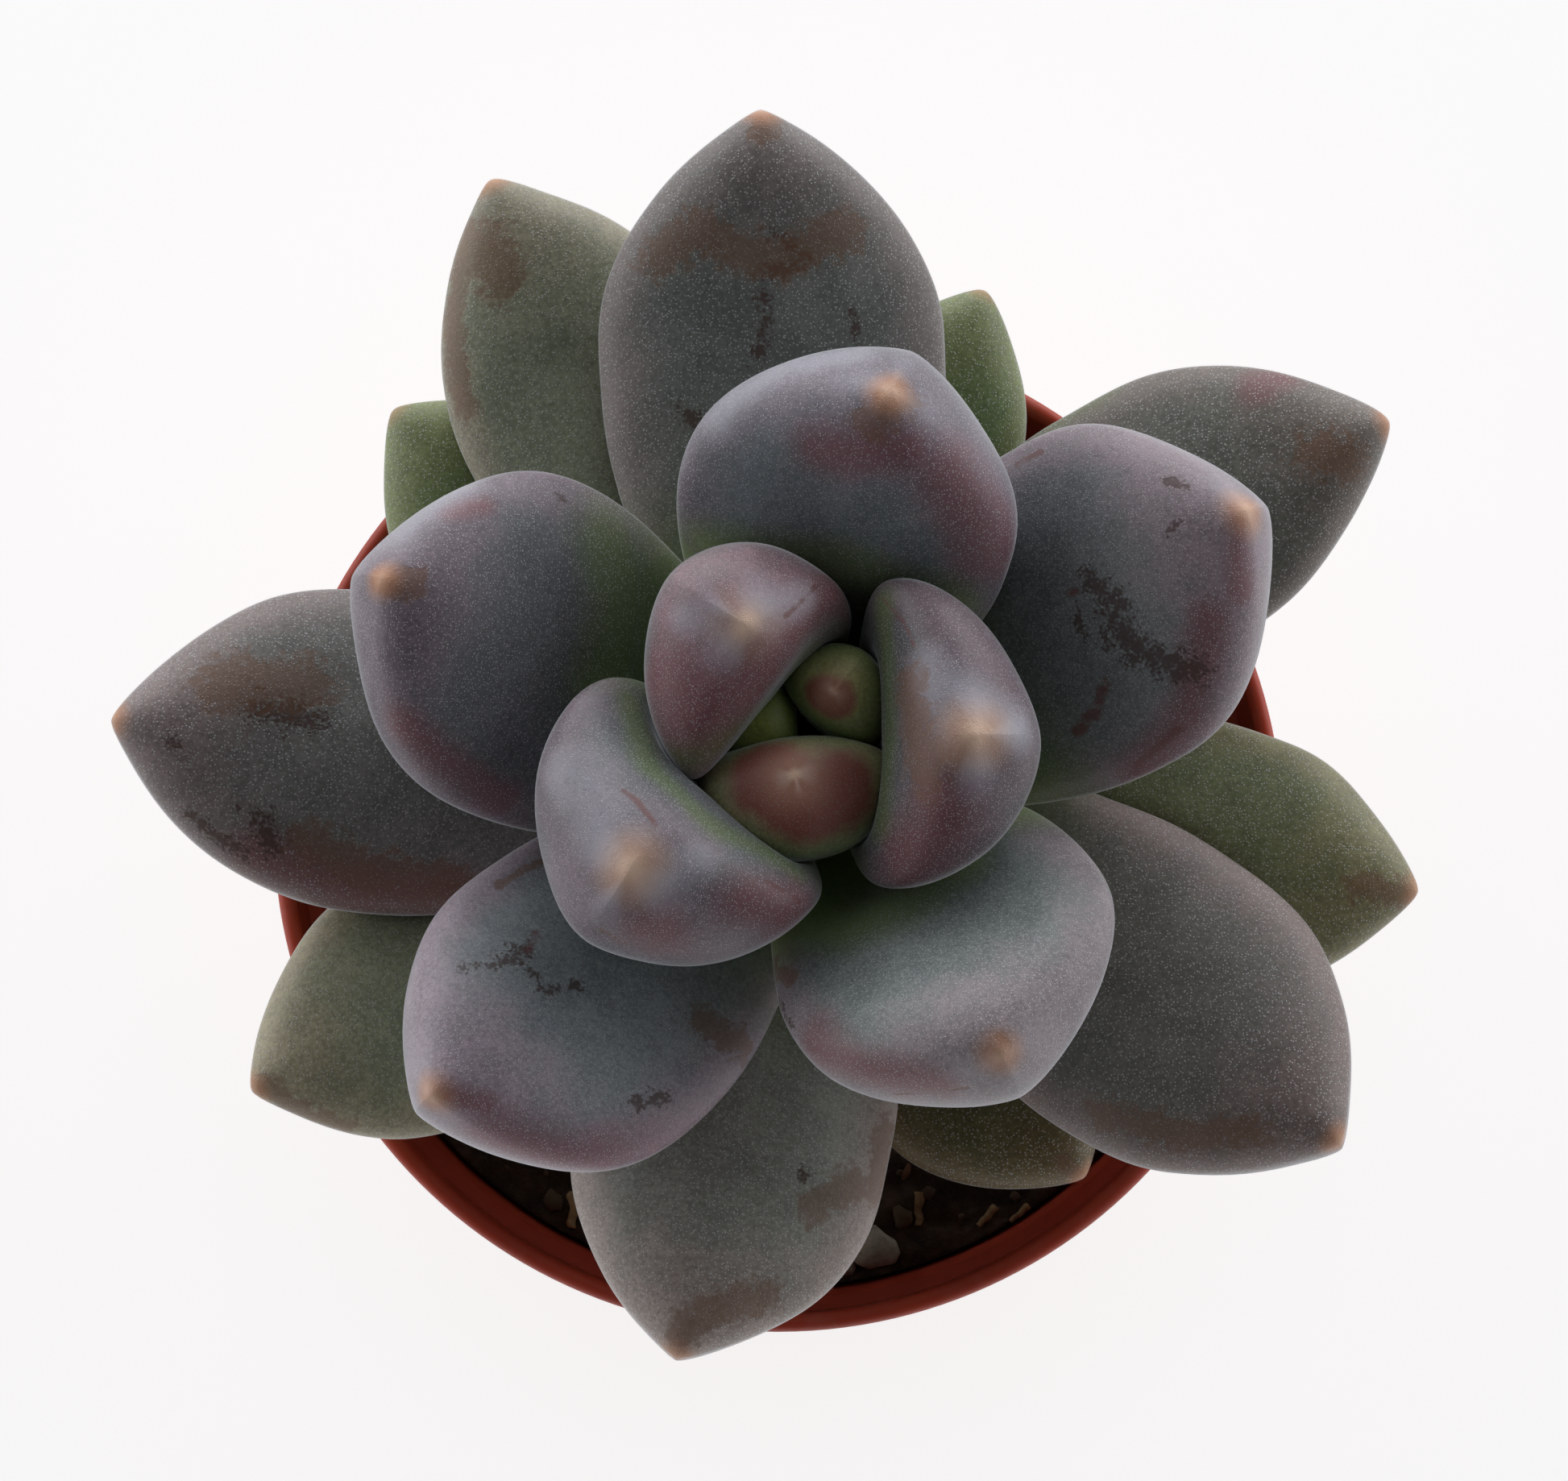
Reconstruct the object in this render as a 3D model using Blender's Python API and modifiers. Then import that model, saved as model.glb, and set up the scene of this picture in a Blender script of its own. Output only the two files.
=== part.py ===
"""A potted echeveria: a rosette of plump leaves on a short stem, in a small plastic pot of soil.

Metres and degrees, with +Z up. The origin is the centre of the pot's flat underside.
Leaves are numbered from leaf_01, the bud in the heart, to the oldest leaf, next to the soil.
"""

import math
from typing import NamedTuple

import bmesh
import bpy
import numpy as np
from mathutils import Vector, noise
from mathutils.bvhtree import BVHTree

NAME = "potted_echeveria"
GAP = 0.0003

POT_HEIGHT = 0.050
RIM_DIAMETER = 0.055
RIM_BAND_HEIGHT = 0.006
RIM_DRAFT = 0.0003
BODY_TOP_DIAMETER = 0.0522
BASE_DIAMETER = 0.039
WALL = 0.0010
BASE_THICKNESS = 0.0014
BASE_CORNER_RADIUS = 0.0010
POT_SEGMENTS = 56
MERGE_DISTANCE = 0.00005
DRAIN_HOLE_DIAMETER = 0.005
DRAIN_HOLE_CIRCLE = 0.024
DRAIN_HOLES = 4
DRAIN_HOLE_SEGMENTS = 16

SOIL_LEVEL = 0.0440
SOIL_RELIEF = 0.0009
SOIL_LUMP_SIZE = 0.0042
SOIL_RINGS = 9
SOIL_SEGMENTS = 44

STEM_DIAMETER = 0.0068
STEM_BURIED = 0.012
STEM_FOOT = (0.0006, 0.0009)
STEM_TIP = (0.0014, 0.0022, 0.0687)
STEM_DOME_START = 0.0545
STEM_POINTS = 14
STEM_LEAST_RADIUS = 0.0004
STEM_HOLE_SEGMENTS = 24

DIVERGENCE = 138.2
FIRST_AZIMUTH = 178.0
YOUNGEST_NODE_HEIGHT = 0.0672
FIRST_INTERNODE = 0.00052
INTERNODE_GROWTH = 1.15

BASE_WIDTH_SHARE = 0.44
BASE_THICKNESS_SHARE = 0.40
WIDEST_AT = 0.56
THICKEST_AT = 0.60
THICKENING_POWER = 1.2
# A leaf narrows to its tip as (1 - s ** first) ** second, in width and in thickness.
TIP_WIDTH_POWERS = (2.5, 0.92)
TIP_THICKNESS_POWERS = (3.6, 0.6)
# Its section is a superellipse: an upper and a lower power, and what the keel takes from each.
UPPER_SHARE = 0.37
UPPER_POWER = 2.2
LOWER_POWER = 2.1
UPPER_KEEL = 0.4
LOWER_KEEL = 0.7
KEEL_START = 0.55
KEEL_GROWTH = 1.5
LEAF_RINGS = 12
LEAF_SIDES = 16
RING_CROWDING = 1.35
SPINE_STEPS = 8
PRESS_CLEARANCE = 0.00040
PRESS_REACH = 0.0040
PRESS_ROUNDS = 4
RAY = Vector((0.317, 0.211, 0.925)).normalized()
RAY_STEP = 0.0000005


class Leaf(NamedTuple):
    """One leaf: lengths in metres; angles in degrees, a pitch from the horizontal.

    cup curls its sides up, twist turns it about its length towards the tip,
    and lop is the share that its left half is wider, and its right half narrower.
    """

    swing: float
    length: float
    width: float
    thickness: float
    base_pitch: float
    tip_pitch: float
    bend: float
    cup: float
    twist: float = 0.0
    lop: float = 0.0


LEAVES = (
    Leaf(-1, 0.0052, 0.0054, 0.0042, 86, 90, 0, 0.0),
    Leaf(10, 0.0070, 0.0060, 0.0045, 84, 93, 0, 0.1, 0, -0.06),
    Leaf(-2, 0.0084, 0.0102, 0.0063, 80, 95, 0, 0.1, 24, 0.02),
    Leaf(-1, 0.0128, 0.0126, 0.0078, 54, 99, 0, 0.33, 26, 0.15),
    Leaf(8, 0.0149, 0.0156, 0.0073, 56, 76, 0, 0.3, 10, 0.075),
    Leaf(12, 0.0168, 0.0162, 0.0090, 44, 73, 9, 0.35, 7, -0.07),
    Leaf(11.5, 0.0213, 0.0176, 0.0092, 30, 66, -15, 0.1, 0, 0.02),
    Leaf(11, 0.0228, 0.0177, 0.0080, 26, 60, -3, 0.1, 0, 0.08),
    Leaf(8, 0.0240, 0.0182, 0.0086, 16, 54, 0, 0.05),
    Leaf(12, 0.0264, 0.0184, 0.0086, 14, 51, 0, 0.05),
    Leaf(-6, 0.0260, 0.0174, 0.0084, 8, 46, -14, 0.05, 0, 0.07),
    Leaf(-3.5, 0.0318, 0.0183, 0.0086, 0, 30, -2, 0),
    Leaf(8.5, 0.0320, 0.0168, 0.0086, -2, 28, -9, 0, 0, 0.05),
    Leaf(-3.5, 0.0331, 0.0172, 0.0084, -2, 22, -3.5, 0),
    Leaf(-6.5, 0.0334, 0.0150, 0.0080, 0, 20, -14, 0, 0, 0.11),
    Leaf(-3, 0.0284, 0.0166, 0.0082, 2, 20, -8, 0),
    Leaf(-8.5, 0.0329, 0.0154, 0.0080, 0, 18, -3, 0),
    Leaf(1, 0.0302, 0.0150, 0.0074, 4, 14, 0, 0),
    Leaf(-1, 0.0298, 0.0148, 0.0074, 4, 14, 1, 0, 0, 0.04),
    Leaf(-3, 0.0256, 0.0116, 0.0066, 4, 14, 0, 0, 0, 0.08),
    Leaf(10.5, 0.0222, 0.0132, 0.0066, 0, 6, 6, 0, 0, -0.06),
    Leaf(-19, 0.0268, 0.0134, 0.0066, 4, 12, -2, 0),
)


def clear_scene():
    for obj in list(bpy.data.objects):
        bpy.data.objects.remove(obj, do_unlink=True)


def new_collection(name):
    collection = bpy.data.collections.new(name)
    bpy.context.scene.collection.children.link(collection)
    return collection


def new_material(name, colour, roughness):
    material = bpy.data.materials.new(name)
    material.use_nodes = True
    shader = material.node_tree.nodes["Principled BSDF"]
    shader.inputs["Base Color"].default_value = (*colour, 1.0)
    shader.inputs["Roughness"].default_value = roughness
    shader.inputs["Metallic"].default_value = 0.0
    return material


def new_object(name, mesh, collection, material=None):
    obj = bpy.data.objects.new(name, mesh)
    collection.objects.link(obj)
    if material:
        mesh.materials.append(material)
    return obj


def arc(centre_x, centre_z, radius, start, end, steps):
    """Points of a round in the X-Z plane; angles run from +X towards +Z."""
    angles = np.radians(np.linspace(start, end, steps + 1))
    return [(centre_x + radius * math.cos(a), centre_z + radius * math.sin(a)) for a in angles]


def turned(name, profile, segments, collection, material=None):
    """The solid that a closed profile of (radius, height) points makes as it turns about Z."""
    mesh = bpy.data.meshes.new(name)
    vertices = [(x, 0.0, z) for x, z in profile]
    last = len(vertices) - 1
    mesh.from_pydata(vertices, [(i, i + 1) for i in range(last)], [])
    obj = new_object(name, mesh, collection, material)
    screw = obj.modifiers.new("Turn", "SCREW")
    screw.steps = segments
    screw.render_steps = segments
    screw.use_merge_vertices = True
    screw.merge_threshold = MERGE_DISTANCE
    screw.use_smooth_shade = True
    return obj


def body_radius(height):
    """The outer radius of the tapered wall under the rim band."""
    share = height / (POT_HEIGHT - RIM_BAND_HEIGHT)
    return BASE_DIAMETER / 2 + share * (BODY_TOP_DIAMETER - BASE_DIAMETER) / 2


def pot_profile():
    rim = RIM_DIAMETER / 2
    lip = WALL / 2
    band_foot = POT_HEIGHT - RIM_BAND_HEIGHT
    ledge = band_foot + WALL
    corner = BASE_CORNER_RADIUS
    points = arc(rim - lip, POT_HEIGHT - lip, lip, 90, 0, 3)
    points += arc(rim - RIM_DRAFT - lip, band_foot + lip, lip, 0, -90, 2)
    points += [(body_radius(band_foot), band_foot)]
    points += arc(body_radius(corner) - corner, corner, corner, 0, -90, 3)
    points += [(0.0, 0.0), (0.0, BASE_THICKNESS)]
    points += [(body_radius(BASE_THICKNESS) - WALL, BASE_THICKNESS)]
    points += [(body_radius(ledge - lip) - WALL, ledge - lip)]
    points += [(body_radius(ledge) - WALL + lip / 2, ledge)]
    points += [(rim - RIM_DRAFT - WALL, ledge + lip / 2)]
    points += arc(rim - lip, POT_HEIGHT - lip, lip, 180, 90, 3)
    return points


def make_pot(collection, cutters):
    material = new_material("pot_plastic", (0.23, 0.055, 0.025), 0.45)
    pot = turned("pot", pot_profile(), POT_SEGMENTS, collection, material)
    for index in range(DRAIN_HOLES):
        angle = math.radians(45 + index * 360 / DRAIN_HOLES)
        mesh = bpy.data.meshes.new("drain_hole")
        shape = bmesh.new()
        bmesh.ops.create_cone(
            shape, cap_ends=True, segments=DRAIN_HOLE_SEGMENTS, depth=4 * BASE_THICKNESS,
            radius1=DRAIN_HOLE_DIAMETER / 2, radius2=DRAIN_HOLE_DIAMETER / 2,
        )
        shape.to_mesh(mesh)
        shape.free()
        hole = new_object(f"drain_hole_{index + 1}", mesh, cutters)
        across = DRAIN_HOLE_CIRCLE / 2
        hole.location = (across * math.cos(angle), across * math.sin(angle), BASE_THICKNESS / 2)
        cut(pot, hole)
    return pot


def cut(obj, cutter):
    cutter.hide_render = True
    cutter.display_type = "WIRE"
    boolean = obj.modifiers.new(f"Cut {cutter.name}", "BOOLEAN")
    boolean.operation = "DIFFERENCE"
    boolean.object = cutter


def make_soil(collection, cutters):
    """The soil: a tapered plug whose top is raised into lumps, with a plain hole for the stem."""
    foot = BASE_THICKNESS + GAP
    top_radius = body_radius(SOIL_LEVEL) - WALL - GAP
    foot_radius = body_radius(foot) - WALL - GAP
    rings = [top_radius * (index + 1) / SOIL_RINGS for index in range(SOIL_RINGS)]
    profile = [(0.0, SOIL_LEVEL)] + [(radius, SOIL_LEVEL) for radius in rings]
    profile += [(foot_radius, foot), (0.0, foot)]
    guide = turned("soil_guide", profile, SOIL_SEGMENTS, cutters)
    graph = bpy.context.evaluated_depsgraph_get()
    mesh = bpy.data.meshes.new_from_object(guide.evaluated_get(graph))
    bpy.data.objects.remove(guide, do_unlink=True)
    mesh.name = "soil"
    for vertex in mesh.vertices:
        if vertex.co.z > SOIL_LEVEL - GAP:
            vertex.co.z += soil_relief(vertex.co, top_radius)
    soil = new_object("soil", mesh, collection, new_material("soil_earth", (0.03, 0.02, 0.015), 0.95))
    mesh.shade_smooth()
    depth = 2 * STEM_BURIED
    hole_mesh = bpy.data.meshes.new("stem_hole")
    shape = bmesh.new()
    radius = STEM_DIAMETER / 2 + GAP
    bmesh.ops.create_cone(
        shape, cap_ends=True, segments=STEM_HOLE_SEGMENTS, depth=depth,
        radius1=radius, radius2=radius,
    )
    shape.to_mesh(hole_mesh)
    shape.free()
    hole = new_object("stem_hole", hole_mesh, cutters)
    hole.location = (*STEM_FOOT, SOIL_LEVEL - STEM_BURIED - GAP + depth / 2)
    cut(soil, hole)
    return soil


def soil_relief(point, top_radius):
    """How far the soil's surface stands above its level, less towards the wall."""
    away = Vector((point.x, point.y, 0.0)) / SOIL_LUMP_SIZE
    lumps = noise.noise(away) + 0.5 * noise.noise(2.3 * away)
    edge = min(1.0, (top_radius - math.hypot(point.x, point.y)) / (0.2 * top_radius))
    return SOIL_RELIEF * lumps * (0.35 + 0.65 * max(0.0, edge))


def stem_axis(height):
    """The middle of the leaning stem at a height above the soil."""
    share = max(0.0, (height - SOIL_LEVEL) / (STEM_TIP[2] - SOIL_LEVEL))
    foot = np.array([*STEM_FOOT, height])
    tip = np.array([STEM_TIP[0], STEM_TIP[1], height])
    return foot + share * (tip - foot)


def stem_radius(height):
    dome = max(0.0, (height - STEM_DOME_START) / (STEM_TIP[2] - STEM_DOME_START))
    return STEM_DIAMETER / 2 * math.sqrt(max(0.0, 1 - min(dome, 1.0) ** 2))


def make_stem(collection):
    """The stem, as a tube along its axis that narrows to a dome at the growing tip."""
    curve = bpy.data.curves.new("stem", "CURVE")
    curve.dimensions = "3D"
    curve.bevel_depth = 1.0
    curve.bevel_resolution = 4
    curve.use_fill_caps = True
    spline = curve.splines.new("POLY")
    spline.points.add(STEM_POINTS - 1)
    foot = SOIL_LEVEL - STEM_BURIED
    for index, point in enumerate(spline.points):
        share = math.sin(0.5 * math.pi * index / (STEM_POINTS - 1))
        height = foot + share * (STEM_TIP[2] - foot)
        point.co = (*stem_axis(height), 1.0)
        point.radius = max(stem_radius(height), STEM_LEAST_RADIUS)
    guide = bpy.data.objects.new("stem_guide", curve)
    collection.objects.link(guide)
    graph = bpy.context.evaluated_depsgraph_get()
    mesh = bpy.data.meshes.new_from_object(guide.evaluated_get(graph))
    bpy.data.objects.remove(guide, do_unlink=True)
    mesh.name = "stem"
    shape = bmesh.new()
    shape.from_mesh(mesh)
    bmesh.ops.remove_doubles(shape, verts=shape.verts, dist=MERGE_DISTANCE)
    bmesh.ops.recalc_face_normals(shape, faces=shape.faces)
    shape.to_mesh(mesh)
    shape.free()
    mesh.shade_smooth()
    return new_object("stem", mesh, collection, new_material("stem_bark", (0.22, 0.17, 0.10), 0.8))


def width_share(s):
    """A leaf's width at s, from 0 at its base to 1 at its tip, as a share of its greatest."""
    if s < WIDEST_AT:
        return BASE_WIDTH_SHARE + (1 - BASE_WIDTH_SHARE) * math.sin(0.5 * math.pi * s / WIDEST_AT)
    beyond = (s - WIDEST_AT) / (1 - WIDEST_AT)
    sharp, blunt = TIP_WIDTH_POWERS
    return (1 - beyond ** sharp) ** blunt


def thickness_share(s):
    if s < THICKEST_AT:
        rise = math.sin(0.5 * math.pi * s / THICKEST_AT) ** THICKENING_POWER
        return BASE_THICKNESS_SHARE + (1 - BASE_THICKNESS_SHARE) * rise
    beyond = (s - THICKEST_AT) / (1 - THICKEST_AT)
    sharp, blunt = TIP_THICKNESS_POWERS
    return (1 - beyond ** sharp) ** blunt


def leaf_height(index):
    return YOUNGEST_NODE_HEIGHT - FIRST_INTERNODE * index ** INTERNODE_GROWTH


def leaf_azimuth(index):
    return FIRST_AZIMUTH - DIVERGENCE * index + LEAVES[index].swing


def leaf_section(leaf, s, sides):
    """The outline across a leaf at s, as (sideways, towards the upper face) pairs."""
    half_width = leaf.width / 2 * width_share(s)
    thickness = leaf.thickness * thickness_share(s)
    keel = max(0.0, (s - KEEL_START) / (1 - KEEL_START)) ** KEEL_GROWTH
    angles = 2 * math.pi * np.arange(sides) / sides
    cosine = np.cos(angles)
    sine = np.sin(angles)
    upper = sine >= 0
    power = np.where(upper, UPPER_POWER - UPPER_KEEL * keel, LOWER_POWER - LOWER_KEEL * keel)
    across = half_width * np.sign(cosine) * np.abs(cosine) ** (2 / power) * (1 + leaf.lop * cosine)
    height = np.where(upper, UPPER_SHARE, 1 - UPPER_SHARE) * thickness
    along = height * np.sign(sine) * np.abs(sine) ** (2 / power)
    cup = leaf.cup * (1 - s ** 3) * across ** 2 / leaf.width * 2
    return across, along + cup


def leaf_rings(index, rings, sides):
    """A leaf's surface before it is pressed: a point for each ring and side, and its tip."""
    leaf = LEAVES[index]
    height = leaf_height(index)
    azimuth = math.radians(leaf_azimuth(index))
    outward = np.array([math.cos(azimuth), math.sin(azimuth), 0.0])
    place = stem_axis(height) + outward * (stem_radius(height) + GAP)
    steps = 1 - (1 - np.linspace(0, 1, rings + 1)) ** RING_CROWDING
    surface = []
    for number in range(rings):
        s = steps[number]
        pitch, heading = leaf_direction(leaf, azimuth, s)
        forward, aside, up = leaf_frame(pitch, heading, math.radians(leaf.twist) * s)
        across, along = leaf_section(leaf, s, sides)
        surface.append(place + np.outer(across, aside) + np.outer(along, up))
        stretch = (steps[number + 1] - s) / SPINE_STEPS
        for piece in range(SPINE_STEPS):
            pitch, heading = leaf_direction(leaf, azimuth, s + (piece + 0.5) * stretch)
            place = place + leaf.length * stretch * leaf_frame(pitch, heading)[0]
    return np.array(surface), place


def leaf_direction(leaf, azimuth, s):
    pitch = math.radians(leaf.base_pitch + (leaf.tip_pitch - leaf.base_pitch) * s)
    return pitch, azimuth + math.radians(leaf.bend) * s


def leaf_frame(pitch, heading, twist=0.0):
    """Unit vectors along a leaf, sideways across it, and out of its upper face."""
    outward = np.array([math.cos(heading), math.sin(heading), 0.0])
    level = np.array([-outward[1], outward[0], 0.0])
    forward = math.cos(pitch) * outward + np.array([0.0, 0.0, math.sin(pitch)])
    aside = math.cos(twist) * level + math.sin(twist) * np.cross(forward, level)
    return forward, aside, np.cross(forward, aside)


def inside(tree, point):
    """Whether a ray from the point leaves the closed surface once more than it enters it."""
    crossings = 0
    spot = tree.ray_cast(point, RAY)[0]
    while spot is not None:
        crossings += 1
        spot = tree.ray_cast(spot + RAY * RAY_STEP, RAY)[0]
    return crossings % 2 == 1


def intrusion(tree, point):
    """How far a point is in a closed surface, or nearer than the clearance, and which way is out."""
    spot, normal, face, distance = tree.find_nearest(point, PRESS_REACH)
    if spot is None:
        return 0.0, normal, face
    if (point - spot).dot(normal) < 0 and inside(tree, point):
        return distance + PRESS_CLEARANCE, normal, face
    return max(0.0, PRESS_CLEARANCE - distance), normal, face


def press(points, faces, neighbours):
    """Dents a leaf where younger ones grow into it: first its own points, then under theirs."""
    for _ in range(PRESS_ROUNDS):
        for number in range(len(points)):
            for tree, _ in neighbours:
                depth, normal, _ = intrusion(tree, Vector(points[number]))
                if depth > 0:
                    points[number] += depth * np.array(normal)
        points += dents_under(points, faces, neighbours)
    return points


def dents_under(points, faces, neighbours):
    """For each point of a leaf, its move out from under the neighbours' points, or none."""
    own = BVHTree.FromPolygons(points.tolist(), faces)
    low = points.min(axis=0) - PRESS_CLEARANCE
    high = points.max(axis=0) + PRESS_CLEARANCE
    moves = np.zeros_like(points)
    deepest = np.zeros(len(points))
    for _, corners in neighbours:
        near = corners[((corners > low) & (corners < high)).all(axis=1)]
        for corner in near:
            depth, normal, face = intrusion(own, Vector(corner))
            if depth == 0:
                continue
            for number in faces[face]:
                if depth > deepest[number]:
                    deepest[number] = depth
                    moves[number] = -depth * np.array(normal)
    return moves


def leaf_faces(rings, sides):
    """Quads between the rings, and fans at the base and at the tip."""
    faces = []
    for ring in range(rings - 1):
        for side in range(sides):
            after = (side + 1) % sides
            low = ring * sides
            high = low + sides
            faces.append((low + side, low + after, high + after, high + side))
    base = rings * sides
    last = (rings - 1) * sides
    for side in range(sides):
        after = (side + 1) % sides
        faces.append((base, after, side))
        faces.append((base + 1, last + side, last + after))
    return faces


def surface_of(obj):
    """An object's evaluated mesh as a tree for nearest-point tests, and its vertices."""
    evaluated = obj.evaluated_get(bpy.context.evaluated_depsgraph_get())
    mesh = evaluated.to_mesh()
    places = np.array([vertex.co for vertex in mesh.vertices])
    faces = [tuple(polygon.vertices) for polygon in mesh.polygons]
    evaluated.to_mesh_clear()
    return BVHTree.FromPolygons(places.tolist(), faces), places


def make_leaf(index, neighbours, collection):
    surface, tip = leaf_rings(index, LEAF_RINGS, LEAF_SIDES)
    points = np.concatenate([surface.reshape(-1, 3), [surface[0].mean(axis=0), tip]])
    faces = leaf_faces(LEAF_RINGS, LEAF_SIDES)
    points = press(points, faces, neighbours)
    name = f"leaf_{index + 1:02d}"
    mesh = bpy.data.meshes.new(name)
    mesh.from_pydata(points.tolist(), [], faces)
    mesh.shade_smooth()
    green = index / (len(LEAVES) - 1)
    material = new_material(name, (0.10, 0.095 + 0.02 * green, 0.10 - 0.03 * green), 0.6)
    return new_object(name, mesh, collection, material)


def main():
    clear_scene()
    collection = new_collection(NAME)
    cutters = new_collection(f"{NAME}_cutters")
    pot = make_pot(collection, cutters)
    make_soil(collection, cutters)
    stem = make_stem(collection)
    neighbours = [surface_of(pot), surface_of(stem)]
    for index in range(len(LEAVES)):
        leaf = make_leaf(index, neighbours, collection)
        neighbours.append(surface_of(leaf))


main()
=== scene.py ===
"""The looks of a potted echeveria: its leaves and their bloom, soil, stem, pot, floor, light and camera.

Metres, with +Z up, in the frame of the CAD model. The leaves repeat the rules and the table of
the CAD source with finer steps, so each lies on the solid that it replaces.
"""

import math
from typing import NamedTuple

import bmesh
import bpy
import numpy as np
from mathutils import Euler, Matrix, Vector, noise
from mathutils.bvhtree import BVHTree


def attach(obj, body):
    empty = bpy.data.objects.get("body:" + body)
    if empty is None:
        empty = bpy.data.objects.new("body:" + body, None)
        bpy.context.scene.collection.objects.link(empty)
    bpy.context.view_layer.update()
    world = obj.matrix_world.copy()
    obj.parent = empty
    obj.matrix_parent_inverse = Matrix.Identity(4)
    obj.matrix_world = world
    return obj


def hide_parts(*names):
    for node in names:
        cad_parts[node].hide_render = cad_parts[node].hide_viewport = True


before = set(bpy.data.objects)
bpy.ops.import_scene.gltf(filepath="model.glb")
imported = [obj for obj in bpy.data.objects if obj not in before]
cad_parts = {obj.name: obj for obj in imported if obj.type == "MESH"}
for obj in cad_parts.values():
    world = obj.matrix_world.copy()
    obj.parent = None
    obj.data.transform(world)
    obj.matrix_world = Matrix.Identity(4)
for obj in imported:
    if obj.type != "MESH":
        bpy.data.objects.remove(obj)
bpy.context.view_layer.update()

# The photograph's camera: it looks down, and leans a little towards the lower edge.
PHOTO_WIDTH = 1946
PHOTO_HEIGHT = 1838
SENSOR_WIDTH = 36.0
CAMERA_TILT = math.radians(8.0)
CAMERA_DISTANCE = 0.330
CAMERA_AIM = Vector((0.0003, 0.0046, 0.050))
FOCAL_PIXELS = 7512.0

GAP = 0.0003
FLOOR_CLEARANCE = 0.00005
FLOOR_REACH = 3.0
FLOOR_GREY = (0.40, 0.40, 0.40)
FLOOR_GLOW = 0.78
POT_HEIGHT = 0.050
RIM_DIAMETER = 0.055
RIM_BAND_HEIGHT = 0.006
RIM_DRAFT = 0.0003
RIM_FILLET = 0.0004
BODY_TOP_DIAMETER = 0.0522
BASE_DIAMETER = 0.039
WALL = 0.0010
BASE_THICKNESS = 0.0014
BASE_CORNER_RADIUS = 0.0010
DRAIN_HOLE_DIAMETER = 0.005
DRAIN_HOLE_CIRCLE = 0.024
DRAIN_HOLES = 4

SOIL_LEVEL = 0.0440
SOIL_RELIEF = 0.0009
SOIL_LUMP_SIZE = 0.0042
SOIL_SETTLED = 0.0002
CLOD_RELIEF = 0.00030
GRIT_RELIEF = 0.00012

STEM_DIAMETER = 0.0068
STEM_BURIED = 0.012
STEM_FOOT = (0.0006, 0.0009)
STEM_TIP = (0.0014, 0.0022, 0.0687)
STEM_DOME_START = 0.0545

DIVERGENCE = 138.2
FIRST_AZIMUTH = 178.0
YOUNGEST_NODE_HEIGHT = 0.0672
FIRST_INTERNODE = 0.00052
INTERNODE_GROWTH = 1.15

# How a leaf swells: where it is widest, its base's share of that, the power of its rise,
# and the two powers of its fall to the tip.
WIDTH_RULE = (0.56, 0.44, 1.0, (2.5, 0.92))
THICKNESS_RULE = (0.60, 0.40, 1.2, (3.6, 0.6))
UPPER_SHARE = 0.37
UPPER_POWER = 2.2
LOWER_POWER = 2.1
UPPER_KEEL = 0.4
LOWER_KEEL = 0.7
KEEL_START = 0.55
KEEL_GROWTH = 1.5
RING_CROWDING = 1.35
SPINE_STEPS = 4
LEAF_RINGS = 132
LEAF_SIDES = 112
TIP_ROUND = 0.0005
TIP_ROUND_REACH = 0.0010
COLLAR_DEPTH = 0.0006
DENTS_PER_METRE = 190.0
DENT_DEPTH = 0.00022
DENT_FREE_SIZE = 0.0025

POT_SEGMENTS = 192
POT_SEAM_DEPTH = 0.00012
POT_SEAMS = (0.0040,)
POT_BAND_RINGS = (0.0490, 0.0475, 0.0460)
POT_FOOT_RING = 0.0150
POT_RED = (0.430, 0.052, 0.025)
POT_DARK_RED = (0.345, 0.040, 0.019)
POT_LIGHT_RED = (0.490, 0.090, 0.048)
POT_FILM = (0.55, 0.46, 0.40)

SOIL_SIDES = 220
SOIL_RINGS = 90
SOIL_DARK = (0.026, 0.016, 0.011)
SOIL_BROWN = (0.075, 0.045, 0.028)
SOIL_FLECK = (0.085, 0.052, 0.030)
BARK_DARK = (0.050, 0.022, 0.012)
BARK_RED = (0.130, 0.052, 0.026)
STONE_GREY = (0.22, 0.19, 0.15)
STONE_PALE = (0.42, 0.37, 0.29)
TWIG_BROWN = (0.16, 0.085, 0.040)
TWIG_TAN = (0.40, 0.26, 0.13)
# Each stone: its pixel in the photograph, its half sizes and its turn.
STONES = (
    ((1082, 1550), (0.0017, 0.0013, 0.0011), 1.0),
    ((1050, 1570), (0.0008, 0.0007, 0.0006), 2.0),
)
# Each twig: the pixels of its ends, its radius and its bends.
TWIGS = (
    ((714, 1480), (710, 1524), 0.00035, 1.0),
    ((1141, 1480), (1139, 1521), 0.00030, 2.0),
    ((1236, 1498), (1214, 1521), 0.00025, 3.0),
    ((1276, 1496), (1254, 1516), 0.00020, 4.0),
)
TWIG_RINGS = 15
TWIG_SIDES = 12
# What is spread over the soil: how many, the least and greatest size, the flatness and the first number.
CRUMBS = (420, 0.00022, 0.00075, 0.75, 0)
BARK = (46, 0.0006, 0.0013, 0.35, 1000)
GOLDEN_ANGLE = math.radians(137.508)
BED_RELIEF = 0.0003
CRUMB_RELIEF = 0.0001

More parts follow.
